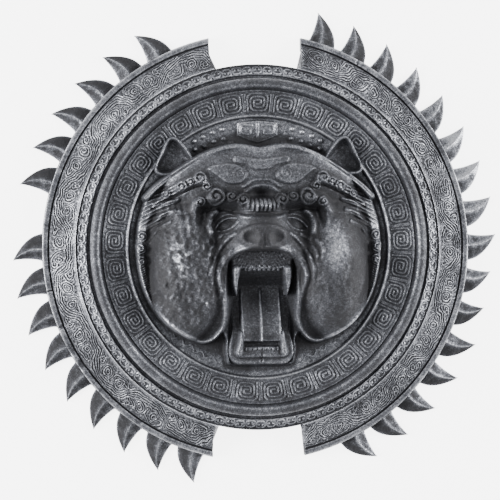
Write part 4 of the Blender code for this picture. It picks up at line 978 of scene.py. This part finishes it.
def newGroup(name, inputs, outputs):
    group = bpy.data.node_groups.new(name, "ShaderNodeTree")
    for label, value in inputs.items():
        socket = group.interface.new_socket(label, in_out="INPUT", socket_type="NodeSocketFloat")
        socket.default_value = value
    for label in outputs:
        kind = "NodeSocketColor" if label == "Color" else "NodeSocketFloat"
        group.interface.new_socket(label, in_out="OUTPUT", socket_type=kind)
    return group, group.nodes.new("NodeGroupInput"), group.nodes.new("NodeGroupOutput")

def putOut(group, leave, **values):
    for label, value in values.items():
        group.links.new(value, leave.inputs[label])

def addNode(tree, kind, **values):
    node = tree.nodes.new(kind)
    for key, value in values.items():
        setattr(node, key, value)
    return node

def mathNode(tree, operation, *values, clamp=False):
    node = addNode(tree, "ShaderNodeMath", operation=operation, use_clamp=clamp)
    for socket, value in zip(node.inputs, values):
        if isinstance(value, (int, float)):
            socket.default_value = value
        else:
            tree.links.new(value, socket)
    return node.outputs[0]

def noiseNode(tree, vector, scale, detail, roughness, distortion=0.0):
    node = addNode(tree, "ShaderNodeTexNoise")
    settings = {"Scale": scale, "Detail": detail, "Roughness": roughness, "Distortion": distortion}
    for label, value in settings.items():
        node.inputs[label].default_value = value
    tree.links.new(vector, node.inputs["Vector"])
    return node.outputs["Fac"]

def rampNode(tree, value, stops):
    node = addNode(tree, "ShaderNodeValToRGB")
    elements = node.color_ramp.elements
    while len(elements) < len(stops):
        elements.new(0.5)
    for element, (place, colour) in zip(elements, stops):
        element.position = place
        element.color = (*colour, 1.0)
    tree.links.new(value, node.inputs["Fac"])
    return node.outputs["Color"]

def objectPlace(group):
    return addNode(group, "ShaderNodeTexCoord").outputs["Object"]

rub = {
    # noise: scale, detail, roughness, distortion, and how much it adds to the wear
    "noises": ((30.0, 4, 0.6, 0.4, 0.88), (380.0, 3, 0.7, 0.0, 1.0), (1100.0, 1, 0.5, 0.0, 1.0)),
    "stops": [(0.0, (0.020, 0.020, 0.023)), (0.28, (0.040, 0.041, 0.047)), (0.50, (0.082, 0.085, 0.097)),
              (0.72, (0.19, 0.197, 0.22)), (1.0, (0.50, 0.51, 0.55))],
}
wood = {
    "stops": [(0.25, (0.018, 0.009, 0.005)), (0.55, (0.075, 0.036, 0.018)), (0.85, (0.20, 0.105, 0.055))],
}
steel = {
    "stops": [(0.30, (0.05, 0.05, 0.055)), (0.48, (0.12, 0.12, 0.13)), (0.62, (0.34, 0.34, 0.36))],
}

def rubbedPaintGroup():
    # the mask of wear and painted light plus patches, specks and dust of noise round 0 -> dark and matt at 0, silver
    # and smoother at 1
    outputs = ["Color", "Roughness", "Metallic", "Mask"]
    group, entry, leave = newGroup("rubbedPaint", {"WearAndLightMask": 0.5, "Lift": 0.0}, outputs)
    total = entry.outputs["WearAndLightMask"]
    for scale, detail, roughness, distortion, amount in rub["noises"]:
        noise = noiseNode(group, objectPlace(group), scale, detail, roughness, distortion)
        total = mathNode(group, "MULTIPLY_ADD", mathNode(group, "SUBTRACT", noise, 0.5), amount, total)
    total = mathNode(group, "ADD", total, entry.outputs["Lift"], clamp=True)
    putOut(group, leave, Color=rampNode(group, total, rub["stops"]), Mask=total,
           Roughness=mathNode(group, "MULTIPLY_ADD", total, -0.40, 0.74),
           Metallic=mathNode(group, "MULTIPLY_ADD", total, 0.45, 0.40, clamp=True))
    return group

def castGrainGroup():
    # height of a casting's lumps less its pits
    group, entry, leave = newGroup("castGrain", {"Amount": 1.0}, ["Height"])
    lumps = noiseNode(group, objectPlace(group), 260.0, 4, 0.6)
    pits = mathNode(group, "POWER", noiseNode(group, objectPlace(group), 900.0, 2, 0.5), 3.0)
    total = mathNode(group, "SUBTRACT", lumps, mathNode(group, "MULTIPLY", pits, 1.4))
    putOut(group, leave, Height=mathNode(group, "MULTIPLY", total, entry.outputs["Amount"]))
    return group

def stretchedNoise(group, stretch, scale, detail):
    # noise drawn out along X, as grain and brush strokes are
    mapping = addNode(group, "ShaderNodeMapping")
    mapping.inputs["Scale"].default_value = (1.0 / stretch, 1.0, 1.0)
    group.links.new(objectPlace(group), mapping.inputs["Vector"])
    return noiseNode(group, mapping.outputs["Vector"], scale, detail, 0.6, 0.3)

def woodGrainGroup():
    # dark oiled wood -> colour, roughness and the height of the pores; it is paler where hands have worn it
    group, entry, leave = newGroup("woodGrain", {"WearAndLightMask": 0.5}, ["Color", "Roughness", "Height"])
    fibres = stretchedNoise(group, 14.0, 700.0, 3)
    bands = stretchedNoise(group, 7.0, 110.0, 2)
    total = mathNode(group, "MULTIPLY_ADD", fibres, 0.5, mathNode(group, "MULTIPLY", bands, 0.6))
    wearAndPaintedLight = mathNode(group, "SUBTRACT", entry.outputs["WearAndLightMask"], 0.5)
    total = mathNode(group, "MULTIPLY_ADD", wearAndPaintedLight, 0.25, total, clamp=True)
    putOut(group, leave, Color=rampNode(group, total, wood["stops"]), Height=fibres,
           Roughness=mathNode(group, "MULTIPLY_ADD", fibres, 0.25, 0.36))
    return group

def blackSteelGroup():
    # blackened steel, scuffed along its length -> colour, roughness and height
    group, entry, leave = newGroup("blackSteel", {"Scuff": 0.5}, ["Color", "Roughness", "Height"])
    strokes = stretchedNoise(group, 30.0, 1200.0, 2)
    blots = mathNode(group, "MULTIPLY", stretchedNoise(group, 1.0, 90.0, 4), entry.outputs["Scuff"])
    total = mathNode(group, "MULTIPLY_ADD", strokes, 0.4, blots, clamp=True)
    putOut(group, leave, Color=rampNode(group, total, steel["stops"]), Height=strokes,
           Roughness=mathNode(group, "MULTIPLY_ADD", strokes, 0.3, 0.28))
    return group

groups = {"rub": rubbedPaintGroup(), "grain": castGrainGroup(), "wood": woodGrainGroup(), "steel": blackSteelGroup()}

def groupNode(tree, name, **values):
    node = addNode(tree, "ShaderNodeGroup", node_tree=groups[name])
    for key, value in values.items():
        node.inputs[key].default_value = value
    return node

def newMaterial(name):
    material = bpy.data.materials.new(name)
    material.use_nodes = True
    return material, material.node_tree, material.node_tree.nodes["Principled BSDF"]

def addBump(tree, shader, height, strength, distance):
    bump = addNode(tree, "ShaderNodeBump")
    bump.inputs["Strength"].default_value = strength
    bump.inputs["Distance"].default_value = distance
    tree.links.new(height, bump.inputs["Height"])
    tree.links.new(bump.outputs["Normal"], shader.inputs["Normal"])

def linkSurface(tree, surface, shader, wearAndPaintedLight, *more):
    # the group's colour and roughness, and more of its outputs, go to the shader's sockets; the mask of wear and
    # painted light comes from the mesh
    for socket, target in (("Color", "Base Color"), ("Roughness", "Roughness"), *more):
        tree.links.new(surface.outputs[socket], shader.inputs[target])
    if wearAndPaintedLight:
        mask = addNode(tree, "ShaderNodeAttribute", attribute_name="wearAndPaintedLight")
        tree.links.new(mask.outputs["Fac"], surface.inputs["WearAndLightMask"])

def castMaterial(name, lift=0.0, grain=1.0):
    material, tree, shader = newMaterial(name)
    linkSurface(tree, groupNode(tree, "rub", Lift=lift), shader, True, ("Metallic", "Metallic"))
    addBump(tree, shader, groupNode(tree, "grain", Amount=grain).outputs["Height"], 0.45, 0.0006)
    return material

def grainedMaterial(name, group, metallic, bump):
    material, tree, shader = newMaterial(name)
    shader.inputs["Metallic"].default_value = metallic
    surface = groupNode(tree, group)
    linkSurface(tree, surface, shader, group == "wood")
    addBump(tree, shader, surface.outputs["Height"], bump, 0.0003)
    return material

def dress(piece, material):
    piece.data.materials.clear()
    piece.data.materials.append(material)

relief = castMaterial("rubbedSilverPaint")
bladePaint = castMaterial("rubbedBladePaint", lift=-0.08, grain=1.3)
print("materials ready")

dress(buildKeyBand(), relief)
dress(buildBeadRing(), relief)
dress(buildRim("rimRight", 1), relief)
dress(buildRim("rimLeft", -1), relief)
dress(buildClaws("clawsRight", 1), bladePaint)
dress(buildClaws("clawsLeft", -1), bladePaint)
hollow = hollowTable()
dress(buildHeadPart("headLower", -1, head["split"], head["below"], hollow), relief)
dress(buildHeadPart("headUpper", head["split"], 1, head["above"], hollow), relief)
dress(buildEar("earRight", 1, hollow), relief)
dress(buildEar("earLeft", -1, hollow), relief)
dress(buildGrip(), grainedMaterial("oiledHardwood", "wood", 0.0, 0.35))
blackSteel = grainedMaterial("blackenedSteel", "steel", 0.9, 0.2)
for nodeName in ("grip_strap", "grip_screw_right", "grip_screw_left"):
    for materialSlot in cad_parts[nodeName].material_slots:
        materialSlot.material = blackSteel

# Floor, light and camera

studio = {
    "floor": 4.0, "floorColour": (0.95, 0.95, 0.95), "floorGlow": 5.0, "world": 0.66, "aim": (0, 0, 0.03),
    # area lights: place, size, power
    "lights": {"leftBox": ((-1.9, 0.05, 0.8), 1.1, 84), "rightBox": ((1.9, 0.30, 0.9), 1.0, 60),
               "topBox": ((-0.3, 1.2, 1.9), 1.2, 5)},
    "target": (-0.0073, -0.0028, 0.015), "distance": 2.2, "lean": 5.5, "roll": 0.6, "lens": 161.8,
}

def buildFloor():
    half = studio["floor"]
    mesh = bpy.data.meshes.new("floor")
    mesh.from_pydata([(-half, -half, 0), (half, -half, 0), (half, half, 0), (-half, half, 0)], [], [(0, 1, 2, 3)])
    floor = bpy.data.objects.new("floor", mesh)
    bpy.context.scene.collection.objects.link(floor)
    paper, _, shader = newMaterial("palePaper")
    shader.inputs["Base Color"].default_value = (*studio["floorColour"], 1.0)
    shader.inputs["Roughness"].default_value = 0.9
    shader.inputs["Emission Color"].default_value = (1, 1, 1, 1)
    shader.inputs["Emission Strength"].default_value = studio["floorGlow"]
    dress(floor, paper)

def buildLights():
    world = bpy.data.worlds.new("softRoom")
    world.use_nodes = True
    background = world.node_tree.nodes["Background"]
    background.inputs["Color"].default_value = (1, 1, 1, 1)
    background.inputs["Strength"].default_value = studio["world"]
    bpy.context.scene.world = world
    for name, (place, size, power) in studio["lights"].items():
        light = bpy.data.lights.new(name, "AREA")
        light.size = size
        light.energy = power
        lamp = bpy.data.objects.new(name, light)
        lamp.location = place
        lamp.rotation_euler = (Vector(studio["aim"]) - Vector(place)).to_track_quat("-Z", "Y").to_euler()
        bpy.context.scene.collection.objects.link(lamp)

def buildCamera():
    # over the target by the distance, leaning to the left and rolled a little
    camera = bpy.data.objects.new("camera", bpy.data.cameras.new("camera"))
    bpy.context.scene.collection.objects.link(camera)
    lean, roll = math.radians(studio["lean"]), math.radians(studio["roll"])
    back = Vector((-math.sin(lean), 0, math.cos(lean)))
    place = Vector(studio["target"]) + back * studio["distance"]
    side = Vector((math.sin(roll), math.cos(roll), 0)).cross(back).normalized()
    up = back.cross(side)
    camera.matrix_world = Matrix([(*row, at) for *row, at in zip(side, up, back, place)] + [(0, 0, 0, 1)])
    camera.data.lens = studio["lens"]
    camera.data.clip_end = 20
    bpy.context.scene.camera = camera

buildFloor()
buildLights()
buildCamera()
print("studio and camera ready")

bpy.context.view_layer.update()
